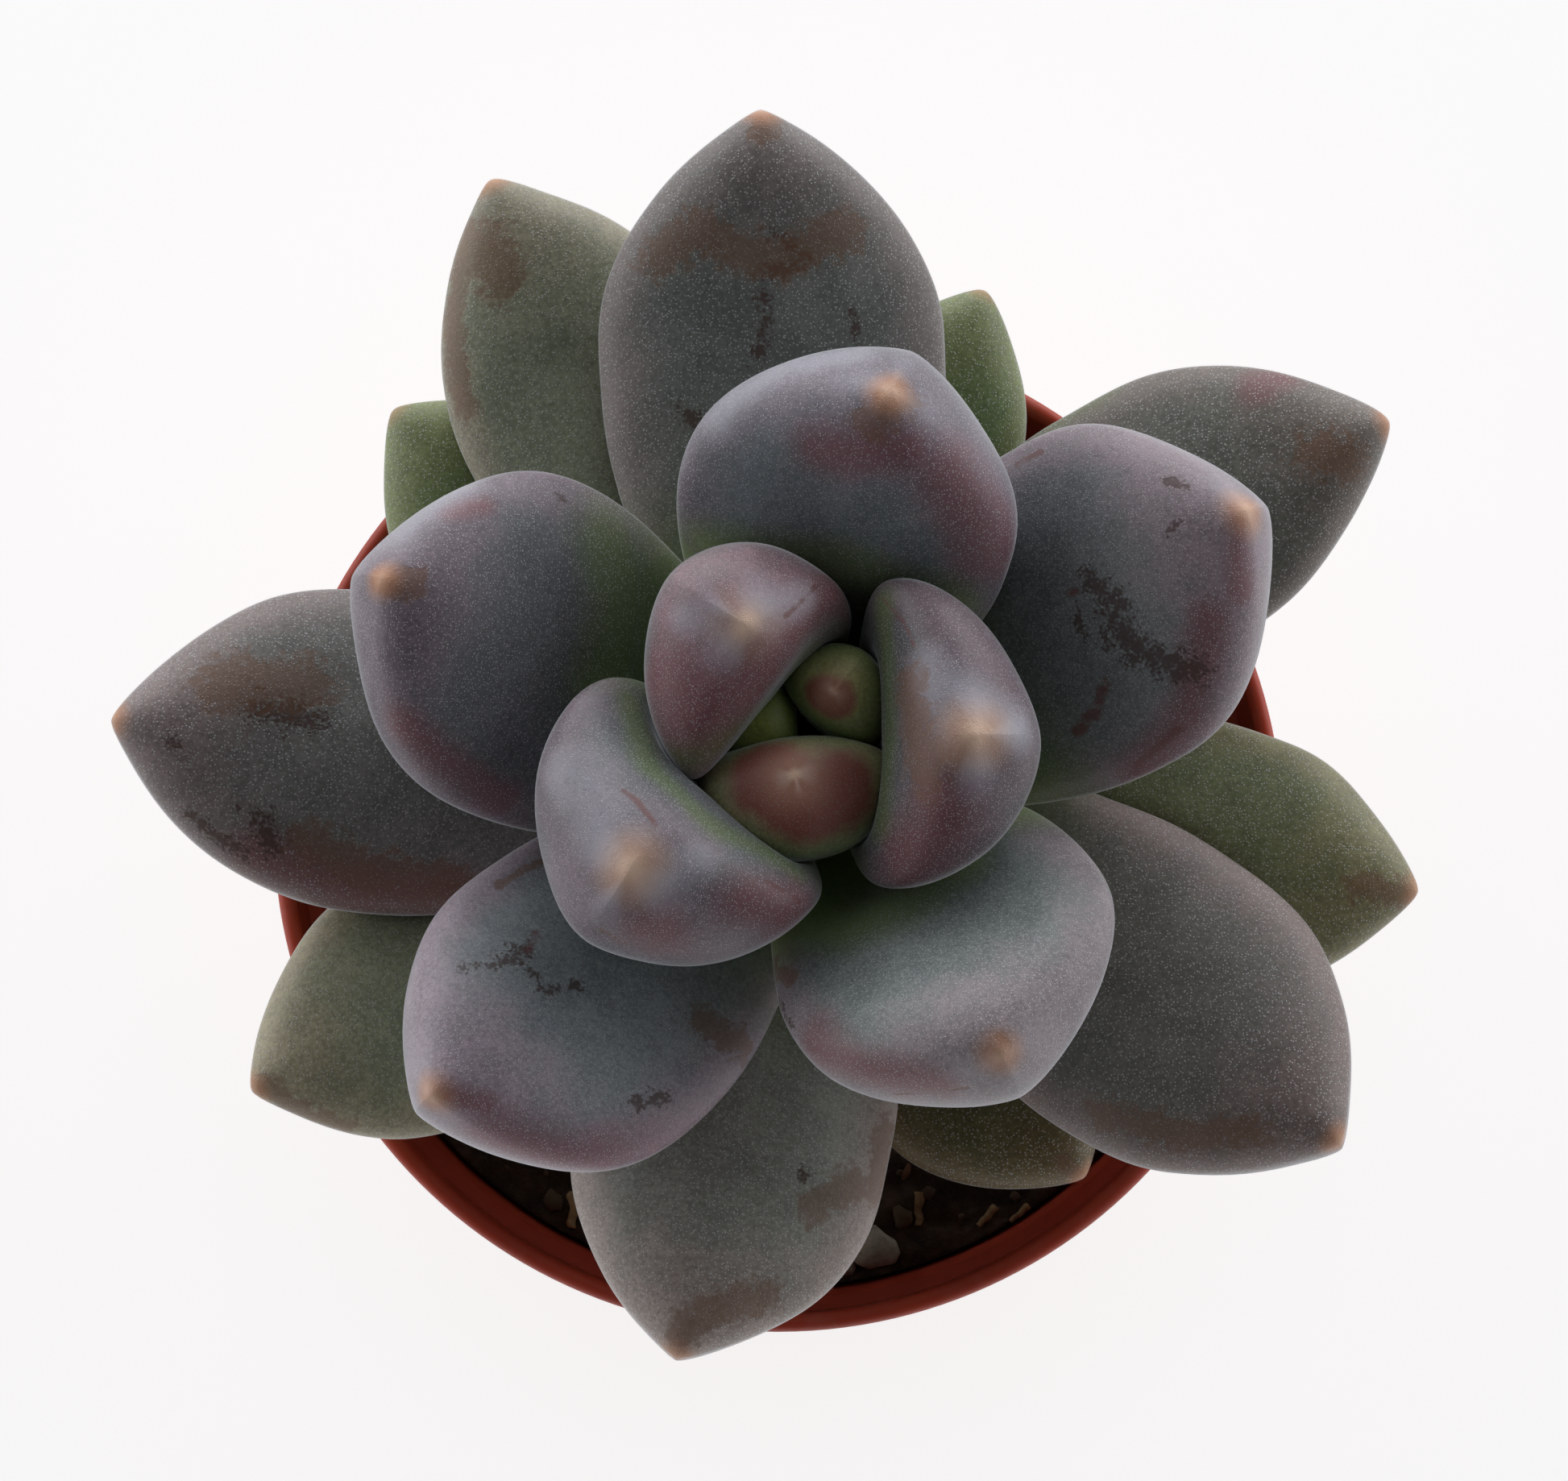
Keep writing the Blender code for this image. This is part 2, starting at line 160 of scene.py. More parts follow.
STEM_CLEARANCE = 0.0002
STEM_SIDES = 96
STEM_RINGS = 90
STEM_ROUGHNESS = 0.035
STEM_SCARS = 4
SCAR_HALF_WIDTH = 0.0021
SCAR_HALF_HEIGHT = 0.0009
SCAR_DEPTH = 0.0003
STEM_BROWN = (0.110, 0.075, 0.045)
STEM_TAN = (0.240, 0.185, 0.110)
STEM_SCAR = (0.065, 0.042, 0.028)

SHEEN_TINT = (0.90, 0.94, 1.0)

# The world's light in front of the plant and behind it: low down, and halfway up.
LOW_LIGHT = (0.40, 3.4)
HIGH_LIGHT = (0.08, 0.76)
LIGHT_TINT = (0.97, 0.985, 1.0)

NEAREST_ROUNDS = 4
FAR_SIDE_FADE = 3.0
PRESS_CLEARANCE = 0.00012
PRESS_REACH = 0.0040
PRESS_ROUNDS = 3
PRESS_SMOOTHING = 6
DOWN = Vector((0.0, 0.0, -1.0))
RAY = Vector((0.317, 0.211, 0.925)).normalized()
RAY_STEP = 0.0000005


class Leaf(NamedTuple):
    """One leaf: lengths in metres; angles in degrees, a pitch from the horizontal.

    cup curls its sides up, twist turns it about its length towards the tip,
    and lop is the share that its left half is wider, and its right half narrower.
    """

    swing: float
    length: float
    width: float
    thickness: float
    base_pitch: float
    tip_pitch: float
    bend: float
    cup: float
    twist: float = 0.0
    lop: float = 0.0


LEAVES = (
    Leaf(-1, 0.0052, 0.0054, 0.0042, 86, 90, 0, 0.0),
    Leaf(10, 0.0070, 0.0060, 0.0045, 84, 93, 0, 0.1, 0, -0.06),
    Leaf(-2, 0.0084, 0.0102, 0.0063, 80, 95, 0, 0.1, 24, 0.02),
    Leaf(-1, 0.0128, 0.0126, 0.0078, 54, 99, 0, 0.33, 26, 0.15),
    Leaf(8, 0.0149, 0.0156, 0.0073, 56, 76, 0, 0.3, 10, 0.075),
    Leaf(12, 0.0168, 0.0162, 0.0090, 44, 73, 9, 0.35, 7, -0.07),
    Leaf(11.5, 0.0213, 0.0176, 0.0092, 30, 66, -15, 0.1, 0, 0.02),
    Leaf(11, 0.0228, 0.0177, 0.0080, 26, 60, -3, 0.1, 0, 0.08),
    Leaf(8, 0.0240, 0.0182, 0.0086, 16, 54, 0, 0.05),
    Leaf(12, 0.0264, 0.0184, 0.0086, 14, 51, 0, 0.05),
    Leaf(-6, 0.0260, 0.0174, 0.0084, 8, 46, -14, 0.05, 0, 0.07),
    Leaf(-3.5, 0.0318, 0.0183, 0.0086, 0, 30, -2, 0),
    Leaf(8.5, 0.0320, 0.0168, 0.0086, -2, 28, -9, 0, 0, 0.05),
    Leaf(-3.5, 0.0331, 0.0172, 0.0084, -2, 22, -3.5, 0),
    Leaf(-6.5, 0.0334, 0.0150, 0.0080, 0, 20, -14, 0, 0, 0.11),
    Leaf(-3, 0.0284, 0.0166, 0.0082, 2, 20, -8, 0),
    Leaf(-8.5, 0.0329, 0.0154, 0.0080, 0, 18, -3, 0),
    Leaf(1, 0.0302, 0.0150, 0.0074, 4, 14, 0, 0),
    Leaf(-1, 0.0298, 0.0148, 0.0074, 4, 14, 1, 0, 0, 0.04),
    Leaf(-3, 0.0256, 0.0116, 0.0066, 4, 14, 0, 0, 0, 0.08),
    Leaf(10.5, 0.0222, 0.0132, 0.0066, 0, 6, 6, 0, 0, -0.06),
    Leaf(-19, 0.0268, 0.0134, 0.0066, 4, 12, -2, 0),
)


class Skin(NamedTuple):
    """How a leaf is coloured.

    main is its usual colour, and green_to is how far from its base green flesh shows through, pale with a
    painted glow on the young leaves.
    star is how clear the star at its tip is, pale ridges with painted highlight where they catch the
    light, and spot is how brown its tip is, both from 0 to 1.
    """

    main: tuple
    green_to: float
    star: float
    spot: float


SKINS = (
    Skin((0.262, 0.370, 0.065), 1.00, 0.0, 0.0),
    Skin((0.303, 0.374, 0.142), 0.90, 0.5, 0.4),
    Skin((0.257, 0.298, 0.139), 0.60, 1.0, 0.5),
    Skin((0.233, 0.178, 0.189), 0.45, 1.0, 0.5),
    Skin((0.124, 0.108, 0.118), 0.40, 1.0, 1.0),
    Skin((0.161, 0.155, 0.169), 0.45, 1.0, 1.0),
    Skin((0.158, 0.166, 0.186), 0.42, 0.3, 1.0),
    Skin((0.224, 0.232, 0.232), 0.36, 0.3, 0.8),
    Skin((0.157, 0.151, 0.168), 0.40, 0.1, 1.0),
    Skin((0.219, 0.213, 0.224), 0.36, 0.4, 1.0),
    Skin((0.273, 0.271, 0.295), 0.24, 0.3, 0.9),
    Skin((0.170, 0.162, 0.151), 0.30, 0.1, 1.0),
    Skin((0.186, 0.158, 0.145), 0.28, 0.1, 0.9),
    Skin((0.203, 0.179, 0.170), 0.24, 0.1, 1.0),
    Skin((0.168, 0.154, 0.133), 0.30, 0.1, 1.0),
    Skin((0.309, 0.280, 0.250), 0.34, 0.1, 0.9),
    Skin((0.281, 0.280, 0.197), 0.40, 0.1, 0.9),
    Skin((0.217, 0.220, 0.111), 0.40, 0.1, 0.9),
    Skin((0.333, 0.327, 0.213), 0.36, 0.1, 0.9),
    Skin((0.169, 0.219, 0.090), 0.70, 0.0, 0.6),
    Skin((0.148, 0.119, 0.049), 0.40, 0.0, 0.9),
    Skin((0.198, 0.252, 0.108), 0.70, 0.0, 0.5),
)

MIDDLE_TINT = (0.92, 1.03, 1.01)
RIM_TINT = (1.14, 0.93, 1.00)
OUTER_RIM_TINT = (1.07, 0.97, 0.98)
DULL = 0.76
BRIGHT = 1.22
PIT_SHADE = 0.45
GREEN_FLESH = (0.125, 0.185, 0.050)
# Pale green painted glow, standing in for light shining through the young leaves' flesh at their bases.
YOUNG_FLESH_GLOW = (0.400, 0.560, 0.190)
GREEN_BASE_SHARE = 0.75
GREEN_MARK_SHARE = 0.66
# The heart's leaves are redder, young leaves' bases are a pale green painted glow of light through the
# flesh, and the outer rims are less red.
HEART_LEAVES = 3
YOUNG_LEAVES = 8
OUTER_LEAVES = 11
# How many rows of pale dots, partly painted glints of the skin's cells, a metre would hold: on the
# innermost leaves, the next and the outer.
DOT_ROWS = (8000.0, 7200.0, 6000.0)
INNER_LEAVES = 6
# The skin's noises, from broad to fine: waves in a metre, detail and roughness.
SKIN_NOISES = (
    (110.0, 3.0, 0.5),
    (420.0, 4.0, 0.6),
    (1500.0, 5.0, 0.7),
    (4200.0, 2.0, 0.6),
    (5200.0, 1.0, 0.5),
)
# What is laid over the skin: a colour, and the most of it that shows.
HEART_RED = ((0.230, 0.036, 0.038), 0.85)
# Maroon, also used as painted shade on inner faces beside the heart's gaps.
MAROON_AND_SHADE = ((0.190, 0.052, 0.062), 0.65)
# Pale bloom, partly painted highlight.
PALE_WAX_AND_HIGHLIGHT = ((0.48, 0.48, 0.55), 0.38)
BARE_FLESH = ((0.062, 0.030, 0.024), 0.80)
RUST = ((0.180, 0.088, 0.048), 0.60)
RED_STAIN = ((0.150, 0.045, 0.042), 0.75)
DOT_WAX_AND_GLINT = (0.70, 0.70, 0.72)
DOT_SHARE = 0.54
HEART_DOT_SHARE = 0.216
PIT_SHARE = 0.35
TIP_BROWN = (0.50, 0.215, 0.100)
TIP_PEACH = (0.64, 0.39, 0.27)
# The point at the tip: paler skin with painted highlight.
TIP_POINT_HIGHLIGHT = (0.86, 0.62, 0.47)
SPOT_SHARE = 0.85
# The star at the tip: paler ridges with painted highlight where they catch the light.
RIDGE_HIGHLIGHT_PEACH = (0.66, 0.47, 0.39)
RIDGE_HIGHLIGHT_BLUE = (0.52, 0.52, 0.61)
RIDGE_SHARE = 0.65
RIDGE_REACH = 0.0045

# Marks on the leaves, a row each: the leaf, counted from 1, the reach, and the points of the middle line.
# The reach and the points are in pixels of the photograph.

# Rubbed bloom, with sharp edges
BARE_MARKS = (
    (8, 9, (967, 1240), (982, 1272)),
    (9, 9, (695, 615), (702, 620)),
    (10, 10, (1449, 596), (1472, 603)),
    (10, 8, (1450, 665), (1463, 645)),
    (10, 22, (1350, 720), (1390, 750)),
    (10, 14, (1335, 765), (1345, 790)),
    (10, 34, (1380, 775), (1420, 815), (1480, 830)),
    (11, 11, (577, 1201), (610, 1196)),
    (11, 19, (625, 1190), (655, 1180)),
    (11, 9, (655, 1199), (671, 1217)),
    (11, 12, (674, 1228), (724, 1224)),
    (11, 14, (785, 1370), (825, 1362)),
    (12, 15, (947, 350), (950, 400), (938, 450)),
    (12, 13, (1058, 390), (1062, 420)),
    (12, 18, (850, 515), (868, 525)),
    (12, 14, (960, 285), (1000, 320), (950, 340)),
    (14, 28, (320, 880), (390, 890)),
    (14, 15, (212, 918), (216, 919)),
    (14, 8, (293, 1001), (296, 1003)),
    (14, 16, (234, 1010), (303, 1061)),
    (14, 26, (325, 1020), (340, 1050)),
    (16, 12, (996, 1460), (1000, 1464)),
)
# Scars, with sharp edges
RUST_MARKS = (
    (5, 50, (1125, 860), (1150, 950)),
    (6, 4, (745, 1153), (775, 1170)),
    (7, 30, (1120, 495), (1088, 525)),
    (7, 24, (1070, 522), (1086, 532)),
    (8, 12, (1243, 1290), (1246, 1300)),
    (8, 4, (1109, 1357), (1201, 1349)),
    (8, 16, (960, 1200), (985, 1215)),
    (9, 26, (475, 722), (512, 724)),
    (11, 9, (620, 1099), (652, 1078), (674, 1069)),
    (11, 30, (870, 1265), (925, 1300)),
    (12, 40, (815, 320), (870, 285), (950, 325), (1050, 285)),
    (12, 24, (955, 150), (948, 165)),
    (13, 30, (1370, 1385), (1470, 1408), (1560, 1405)),
    (14, 50, (275, 848), (385, 848)),
    (14, 42, (384, 1051), (460, 1085), (560, 1100)),
    (15, 44, (1635, 560), (1670, 570)),
    (16, 30, (1007, 1500), (1060, 1468)),
    (16, 26, (1100, 1405), (1085, 1480)),
    (16, 34, (850, 1650), (890, 1625), (950, 1610)),
    (17, 44, (600, 300), (622, 345)),
    (17, 30, (580, 290), (560, 400), (575, 500)),
    (18, 30, (1690, 1100), (1745, 1110)),
    (19, 30, (330, 1350), (420, 1400)),
    (21, 18, (1320, 1440), (1338, 1462)),
)
# Red stains, with sharp edges
RED_MARKS = (
    (4, 5, (975, 765), (1012, 728), (1043, 717)),
    (5, 4, (1261, 883), (1264, 884)),
    (5, 4, (1097, 744), (1122, 772), (1135, 803)),
    (6, 7, (775, 982), (793, 997), (814, 1024)),
    (6, 5, (951, 1094), (992, 1119)),
    (10, 7, (1262, 576), (1292, 560)),
    (10, 7, (1318, 736), (1337, 734)),
    (10, 12, (1335, 908), (1362, 880), (1372, 846)),
    (10, 10, (1412, 950), (1442, 925), (1462, 905)),
    (11, 8, (655, 1180), (667, 1158)),
)
# Redder skin; on leaves 4 and 5 the marks beside the heart's gaps also darken the inner faces as painted
# shade
MAROON_AND_SHADE_MARKS = (
    (2, 32, (1022, 862), (1036, 868)),
    (3, 66, (950, 965), (1000, 995), (1040, 985)),
    (4, 80, (830, 840), (865, 890), (950, 840)),
    (4, 46, (1035, 735), (985, 780)),
    (5, 75, (1170, 1000), (1130, 1070)),
    (6, 60, (930, 1115), (985, 1140)),
    (6, 55, (810, 1150), (930, 1185)),
    (7, 75, (1180, 590), (1235, 690)),
    (7, 50, (1130, 560), (1010, 560)),
    (8, 46, (1010, 1290), (1080, 1330), (1160, 1345)),
    (9, 26, (560, 635), (600, 625)),
    (9, 40, (500, 900), (620, 990)),
    (10, 44, (1500, 770), (1470, 900), (1410, 955)),
    (10, 30, (1545, 650), (1540, 735)),
    (11, 60, (600, 1405), (720, 1440), (900, 1400)),
    (11, 30, (555, 1362), (600, 1372)),
    (14, 60, (320, 1060), (440, 1110), (560, 1110)),
    (15, 44, (1560, 480), (1590, 470)),
)
# Greener skin, where green flesh shows; beside the heart's gaps on leaves 5 and 6 it also darkens the skin
# as painted shade, and near young leaves' bases it takes their painted glow
GREEN_GLOW_AND_SHADE_MARKS = (
    (4, 34, (815, 920), (845, 944), (900, 915), (960, 862), (1000, 815)),
    (4, 28, (1052, 745), (1042, 795)),
    (5, 40, (1095, 755), (1104, 870), (1092, 1015)),
    (6, 38, (785, 870), (810, 955), (880, 1020), (985, 1075)),
    (7, 62, (890, 680), (1050, 700), (1180, 745)),
    (8, 66, (985, 1125), (1055, 1150), (1120, 1125), (1190, 1075)),
    (9, 85, (755, 670), (775, 760), (750, 850)),
    (15, 60, (1290, 500), (1350, 470)),
)
# Skin with more bloom, partly painted highlight where ridges catch the light
PALE_AND_HIGHLIGHT_MARKS = (
    (4, 34, (850, 768), (925, 776), (1000, 742)),
    (5, 50, (1150, 830), (1200, 885), (1262, 900)),
    (6, 60, (700, 960), (770, 1040)),
    (6, 34, (785, 1085), (870, 1070)),
    (7, 46, (890, 520), (980, 455), (1060, 440)),
    (9, 50, (500, 660), (570, 610)),
)
WEAR_MARKS = (BARE_MARKS, RUST_MARKS, RED_MARKS)
TINT_MARKS = (MAROON_AND_SHADE_MARKS, GREEN_GLOW_AND_SHADE_MARKS, PALE_AND_HIGHLIGHT_MARKS)


class Graph:
    """Short names for the nodes of a material or of the world."""

    def __init__(self, owner, shader="Principled BSDF"):
        owner.use_nodes = True
        self.owner = owner
        self.tree = owner.node_tree
        self.shader = self.tree.nodes[shader]

    def node(self, kind, inputs, **settings):
        node = self.tree.nodes.new(kind)
        for key, value in settings.items():
            setattr(node, key, value)
        for key, value in inputs.items():
            self.feed(node.inputs[key], value)
        return node

    def feed(self, socket, value):
        if isinstance(value, bpy.types.NodeSocket):
            self.tree.links.new(value, socket)
        elif socket.type == "RGBA" and len(value) == 3:
            socket.default_value = (*value, 1.0)
        else:
            socket.default_value = value

    def set(self, **values):
        """Sets the shader's own sockets; a space in a socket's name is written _."""
        for key, value in values.items():
            self.feed(self.shader.inputs[key.replace("_", " ")], value)

    def place(self):
        return self.node("ShaderNodeTexCoord", {}).outputs["Object"]

    def attribute(self, name):
        return self.node("ShaderNodeAttribute", {}, attribute_name=name).outputs["Vector"]

    def away(self, vector, spot):
        """How far a place is from a fixed one."""
        inputs = {0: vector, 1: tuple(spot)}
        return self.node("ShaderNodeVectorMath", inputs, operation="DISTANCE").outputs["Value"]

    def split(self, vector):
        return self.node("ShaderNodeSeparateXYZ", {0: vector}).outputs[:3]

    def math(self, operation, first, second=0.0):
        return self.node("ShaderNodeMath", {0: first, 1: second}, operation=operation).outputs[0]

    def add(self, first, second):
        return self.math("ADD", first, second)

    def times(self, first, second):
        return self.math("MULTIPLY", first, second)

    def step(self, value, low, high, start=0.0, end=1.0):
        """Rises smoothly from start to end as the value goes from low to high."""
        inputs = {"Value": value, "From Min": low, "From Max": high, "To Min": start, "To Max": end}
        return self.node("ShaderNodeMapRange", inputs, interpolation_type="SMOOTHSTEP").outputs[0]

    def mix(self, share, first, second):
        inputs = {0: share, 6: first, 7: second}
        return self.node("ShaderNodeMix", inputs, data_type="RGBA").outputs[2]

    def over(self, colour, share, laid, most):
        """A colour with another laid over it, of which the given part shows where the share is 1."""
        return self.mix(self.times(share, most), colour, laid)

    def edged(self, field, wobble, low, high):
        """A share of 0 where the wobbling field is low, and of 1 where it is high."""
        return self.step(self.add(field, wobble), low, high)

    def noise(self, vector, scale, detail, roughness=0.5):
        inputs = {"Vector": vector, "Scale": scale, "Detail": detail, "Roughness": roughness}
        return self.node("ShaderNodeTexNoise", inputs).outputs["Fac"]

    def cells(self, vector, scale, randomness):
        """How far a place is from the middle of its cell."""
        inputs = {"Vector": vector, "Scale": scale, "Randomness": randomness}
        return self.node("ShaderNodeTexVoronoi", inputs).outputs["Distance"]

    def stretched(self, vector, scale):
        return self.node("ShaderNodeMapping", {"Vector": vector, "Scale": scale}).outputs[0]

    def most(self, first, second):
        return self.math("MAXIMUM", first, second)

    def less(self, share):
        """What is left of 1 after a share is taken away."""
        return self.math("SUBTRACT", 1.0, share)

    def around(self, value, size):
        """A noise from 0 to 1, as a swing of the given size about nought."""
        return self.times(self.math("SUBTRACT", value, 0.5), size)

    def bump(self, height, distance, strength):
        inputs = {"Height": height, "Distance": distance, "Strength": strength}
        return self.node("ShaderNodeBump", inputs).outputs["Normal"]


def new_piece(name, points, faces, material):
    mesh = bpy.data.meshes.new(name)
    mesh.from_pydata(np.asarray(points).tolist(), [], faces)
    mesh.shade_smooth()
    mesh.materials.append(material)
    piece = bpy.data.objects.new(name, mesh)
    bpy.context.scene.collection.objects.link(piece)
    return piece


def set_attribute(mesh, name, values):
    attribute = mesh.attributes.new(name, "FLOAT_VECTOR", "POINT")
    attribute.data.foreach_set("vector", np.asarray(values, dtype=np.float32).ravel())


def tube_faces(rings, sides):
    """Quads between rings of points, and a fan on the first and on the last."""
    faces = []
    for ring in range(rings - 1):
        for side in range(sides):
            after = (side + 1) % sides
            low = ring * sides
            faces.append((low + side, low + after, low + sides + after, low + sides + side))
    first = rings * sides
    last = (rings - 1) * sides
    for side in range(sides):
        after = (side + 1) % sides
        faces.append((first, after, side))
        faces.append((first + 1, last + side, last + after))
    return faces


def tube(rings):
    """Points and faces of a closed form through rings of points."""
    ends = [rings[0].mean(axis=0), rings[-1].mean(axis=0)]
    return np.concatenate([*rings, ends]), tube_faces(len(rings), len(rings[0]))


# Leaf form


def stem_axis(height):
    """The middle of the leaning stem at a height above the soil."""
    share = max(0.0, (height - SOIL_LEVEL) / (STEM_TIP[2] - SOIL_LEVEL))
    foot = np.array([*STEM_FOOT, height])
    tip = np.array([STEM_TIP[0], STEM_TIP[1], height])
    return foot + share * (tip - foot)


def stem_radius(height):
    dome = max(0.0, (height - STEM_DOME_START) / (STEM_TIP[2] - STEM_DOME_START))
    return STEM_DIAMETER / 2 * math.sqrt(max(0.0, 1 - min(dome, 1.0) ** 2))


def swell(s, widest, base_share, power, tip_powers):
    """A leaf's width or thickness at s, from 0 at its base to 1 at its tip, as a share of its greatest."""
    if s < widest:
        return base_share + (1 - base_share) * math.sin(0.5 * math.pi * s / widest) ** power
    sharp, blunt = tip_powers
    return (1 - ((s - widest) / (1 - widest)) ** sharp) ** blunt


def rounded(half_width, from_tip):
    """A half width near a sharp tip, swollen so that the tip ends in a small round."""
    return math.sqrt(half_width ** 2 + 2 * TIP_ROUND * from_tip * math.exp(-from_tip / TIP_ROUND_REACH))


def leaf_height(index):
    return YOUNGEST_NODE_HEIGHT - FIRST_INTERNODE * index ** INTERNODE_GROWTH


def leaf_azimuth(index):
    return FIRST_AZIMUTH - DIVERGENCE * index + LEAVES[index].swing


def leaf_section(leaf, s):
    """The outline across a leaf at s, as (sideways, towards the upper face) pairs."""
    half_width = rounded(leaf.width / 2 * swell(s, *WIDTH_RULE), (1 - s) * leaf.length)
    thickness = leaf.thickness * swell(s, *THICKNESS_RULE)
    keel = max(0.0, (s - KEEL_START) / (1 - KEEL_START)) ** KEEL_GROWTH
    angles = 2 * math.pi * np.arange(LEAF_SIDES) / LEAF_SIDES
    cosine = np.cos(angles)
    sine = np.sin(angles)
    upper = sine >= 0
    power = np.where(upper, UPPER_POWER - UPPER_KEEL * keel, LOWER_POWER - LOWER_KEEL * keel)
    across = half_width * np.sign(cosine) * np.abs(cosine) ** (2 / power) * (1 + leaf.lop * cosine)
    height = np.where(upper, UPPER_SHARE, 1 - UPPER_SHARE) * thickness
    along = height * np.sign(sine) * np.abs(sine) ** (2 / power)
    cup = leaf.cup * (1 - s ** 3) * across ** 2 / leaf.width * 2
    return across, along + cup


def ring_shares():
    """How far along a leaf its rings stand, closer together near its tip, and the tip."""
    return 1 - (1 - np.linspace(0, 1, LEAF_RINGS)) ** RING_CROWDING


def leaf_rings(index):
    """A leaf's surface before it is pressed: a point for each ring and side, and its tip."""
    leaf = LEAVES[index]
    height = leaf_height(index)
    azimuth = math.radians(leaf_azimuth(index))
    outward = np.array([math.cos(azimuth), math.sin(azimuth), 0.0])
    place = stem_axis(height) + outward * (stem_radius(height) + GAP)
    steps = ring_shares()
    surface = []
    for number, s in enumerate(steps[:-1]):
        pitch, heading = leaf_direction(leaf, azimuth, s)
        forward, aside, up = leaf_frame(pitch, heading, math.radians(leaf.twist) * s)
        across, along = leaf_section(leaf, s)
        surface.append(place + np.outer(across, aside) + np.outer(along, up))
        stretch = (steps[number + 1] - s) / SPINE_STEPS
        for piece in range(SPINE_STEPS):
            pitch, heading = leaf_direction(leaf, azimuth, s + (piece + 0.5) * stretch)
            place = place + leaf.length * stretch * leaf_frame(pitch, heading)[0]
    return np.array(surface), place


def leaf_direction(leaf, azimuth, s):
    pitch = math.radians(leaf.base_pitch + (leaf.tip_pitch - leaf.base_pitch) * s)
    return pitch, azimuth + math.radians(leaf.bend) * s


def leaf_frame(pitch, heading, twist=0.0):
    """Unit vectors along a leaf, sideways across it, and out of its upper face."""
    outward = np.array([math.cos(heading), math.sin(heading), 0.0])
    level = np.array([-outward[1], outward[0], 0.0])
    forward = math.cos(pitch) * outward + np.array([0.0, 0.0, math.sin(pitch)])
    aside = math.cos(twist) * level + math.sin(twist) * np.cross(forward, level)
    return forward, aside, np.cross(forward, aside)


class Neighbour(NamedTuple):
    """A closed surface that other leaves are pressed against, and its box."""

    tree: BVHTree
    low: np.ndarray
    high: np.ndarray


def neighbour(points, faces):
    points = np.asarray(points)
    return Neighbour(BVHTree.FromPolygons(points.tolist(), faces), points.min(axis=0), points.max(axis=0))


def inside(tree, point):
    """Whether a ray from the point leaves the closed surface once more than it enters it."""
    crossings = 0
    spot = tree.ray_cast(point, RAY)[0]
    while spot is not None:
        crossings += 1
        spot = tree.ray_cast(spot + RAY * RAY_STEP, RAY)[0]
    return crossings % 2 == 1


def intrusion(tree, point):
    """How far a point is in a closed surface, or nearer than the clearance, and which way is out."""
    spot, normal, _, distance = tree.find_nearest(point, PRESS_REACH)
    if spot is None:
        return 0.0, normal
    if (point - spot).dot(normal) < 0 and inside(tree, point):
        return distance + PRESS_CLEARANCE, normal
    return max(0.0, PRESS_CLEARANCE - distance), normal


def push_out(points, neighbours):
    """Moves each point that is in a neighbour, or too near to it, to its surface."""
    for other in neighbours:
        near = (points > other.low - PRESS_CLEARANCE) & (points < other.high + PRESS_CLEARANCE)
        for number in np.flatnonzero(near.all(axis=1)):
            depth, normal = intrusion(other.tree, Vector(points[number]))
            if depth > 0:
                points[number] += depth * np.array(normal)
    return points


def smoothed(moves):
    """The moves of a leaf's points, evened out between each point and its neighbours on the leaf."""
    grid = moves[:-2].reshape(LEAF_RINGS, LEAF_SIDES, 3)
    for _ in range(PRESS_SMOOTHING):
        below = np.concatenate([grid[:1], grid[:-1]])
        above = np.concatenate([grid[1:], grid[-1:]])
        around = np.roll(grid, 1, axis=1) + np.roll(grid, -1, axis=1)
        grid = 0.5 * grid + 0.125 * (below + above + around)
    evened = moves.copy()
    evened[:-2] = grid.reshape(-1, 3)
    return evened


def pressed(points, neighbours):
    """A leaf's points, dented where younger leaves grow into it."""
    free = points.copy()
    for _ in range(PRESS_ROUNDS):
        points = push_out(points, neighbours)
        points = free + smoothed(points - free)
    return push_out(points, neighbours)


def photo_ray(x, y):
    """From the camera through a pixel of the photograph."""
    camera = bpy.context.scene.camera
    across = (x - PHOTO_WIDTH / 2) / FOCAL_PIXELS
    up = (PHOTO_HEIGHT / 2 - y) / FOCAL_PIXELS
    turn = camera.rotation_euler.to_matrix()
    return camera.location.copy(), (turn @ Vector((across, up, -1.0))).normalized()


def seen_at(tree, pixel):
    """The point of a surface that shows at a pixel of the photograph, or else the nearest to it."""
    start, way = photo_ray(*pixel)
    spot = tree.ray_cast(start, way)[0]
    along = CAMERA_DISTANCE
    for _ in range(NEAREST_ROUNDS if spot is None else 0):
        spot = tree.find_nearest(start + along * way)[0]
        along = (spot - start).dot(way)
    return np.array(spot)


def line_distances(points, line):
    """How far each point is from a line of two or more points."""
    nearest = np.full(len(points), np.inf)
    for start, end in zip(line, line[1:]):
        run = end - start
        share = np.clip((points - start) @ run / max(run @ run, 1e-12), 0, 1)
        nearest = np.minimum(nearest, np.linalg.norm(points - start - share[:, None] * run, axis=1))
    return nearest


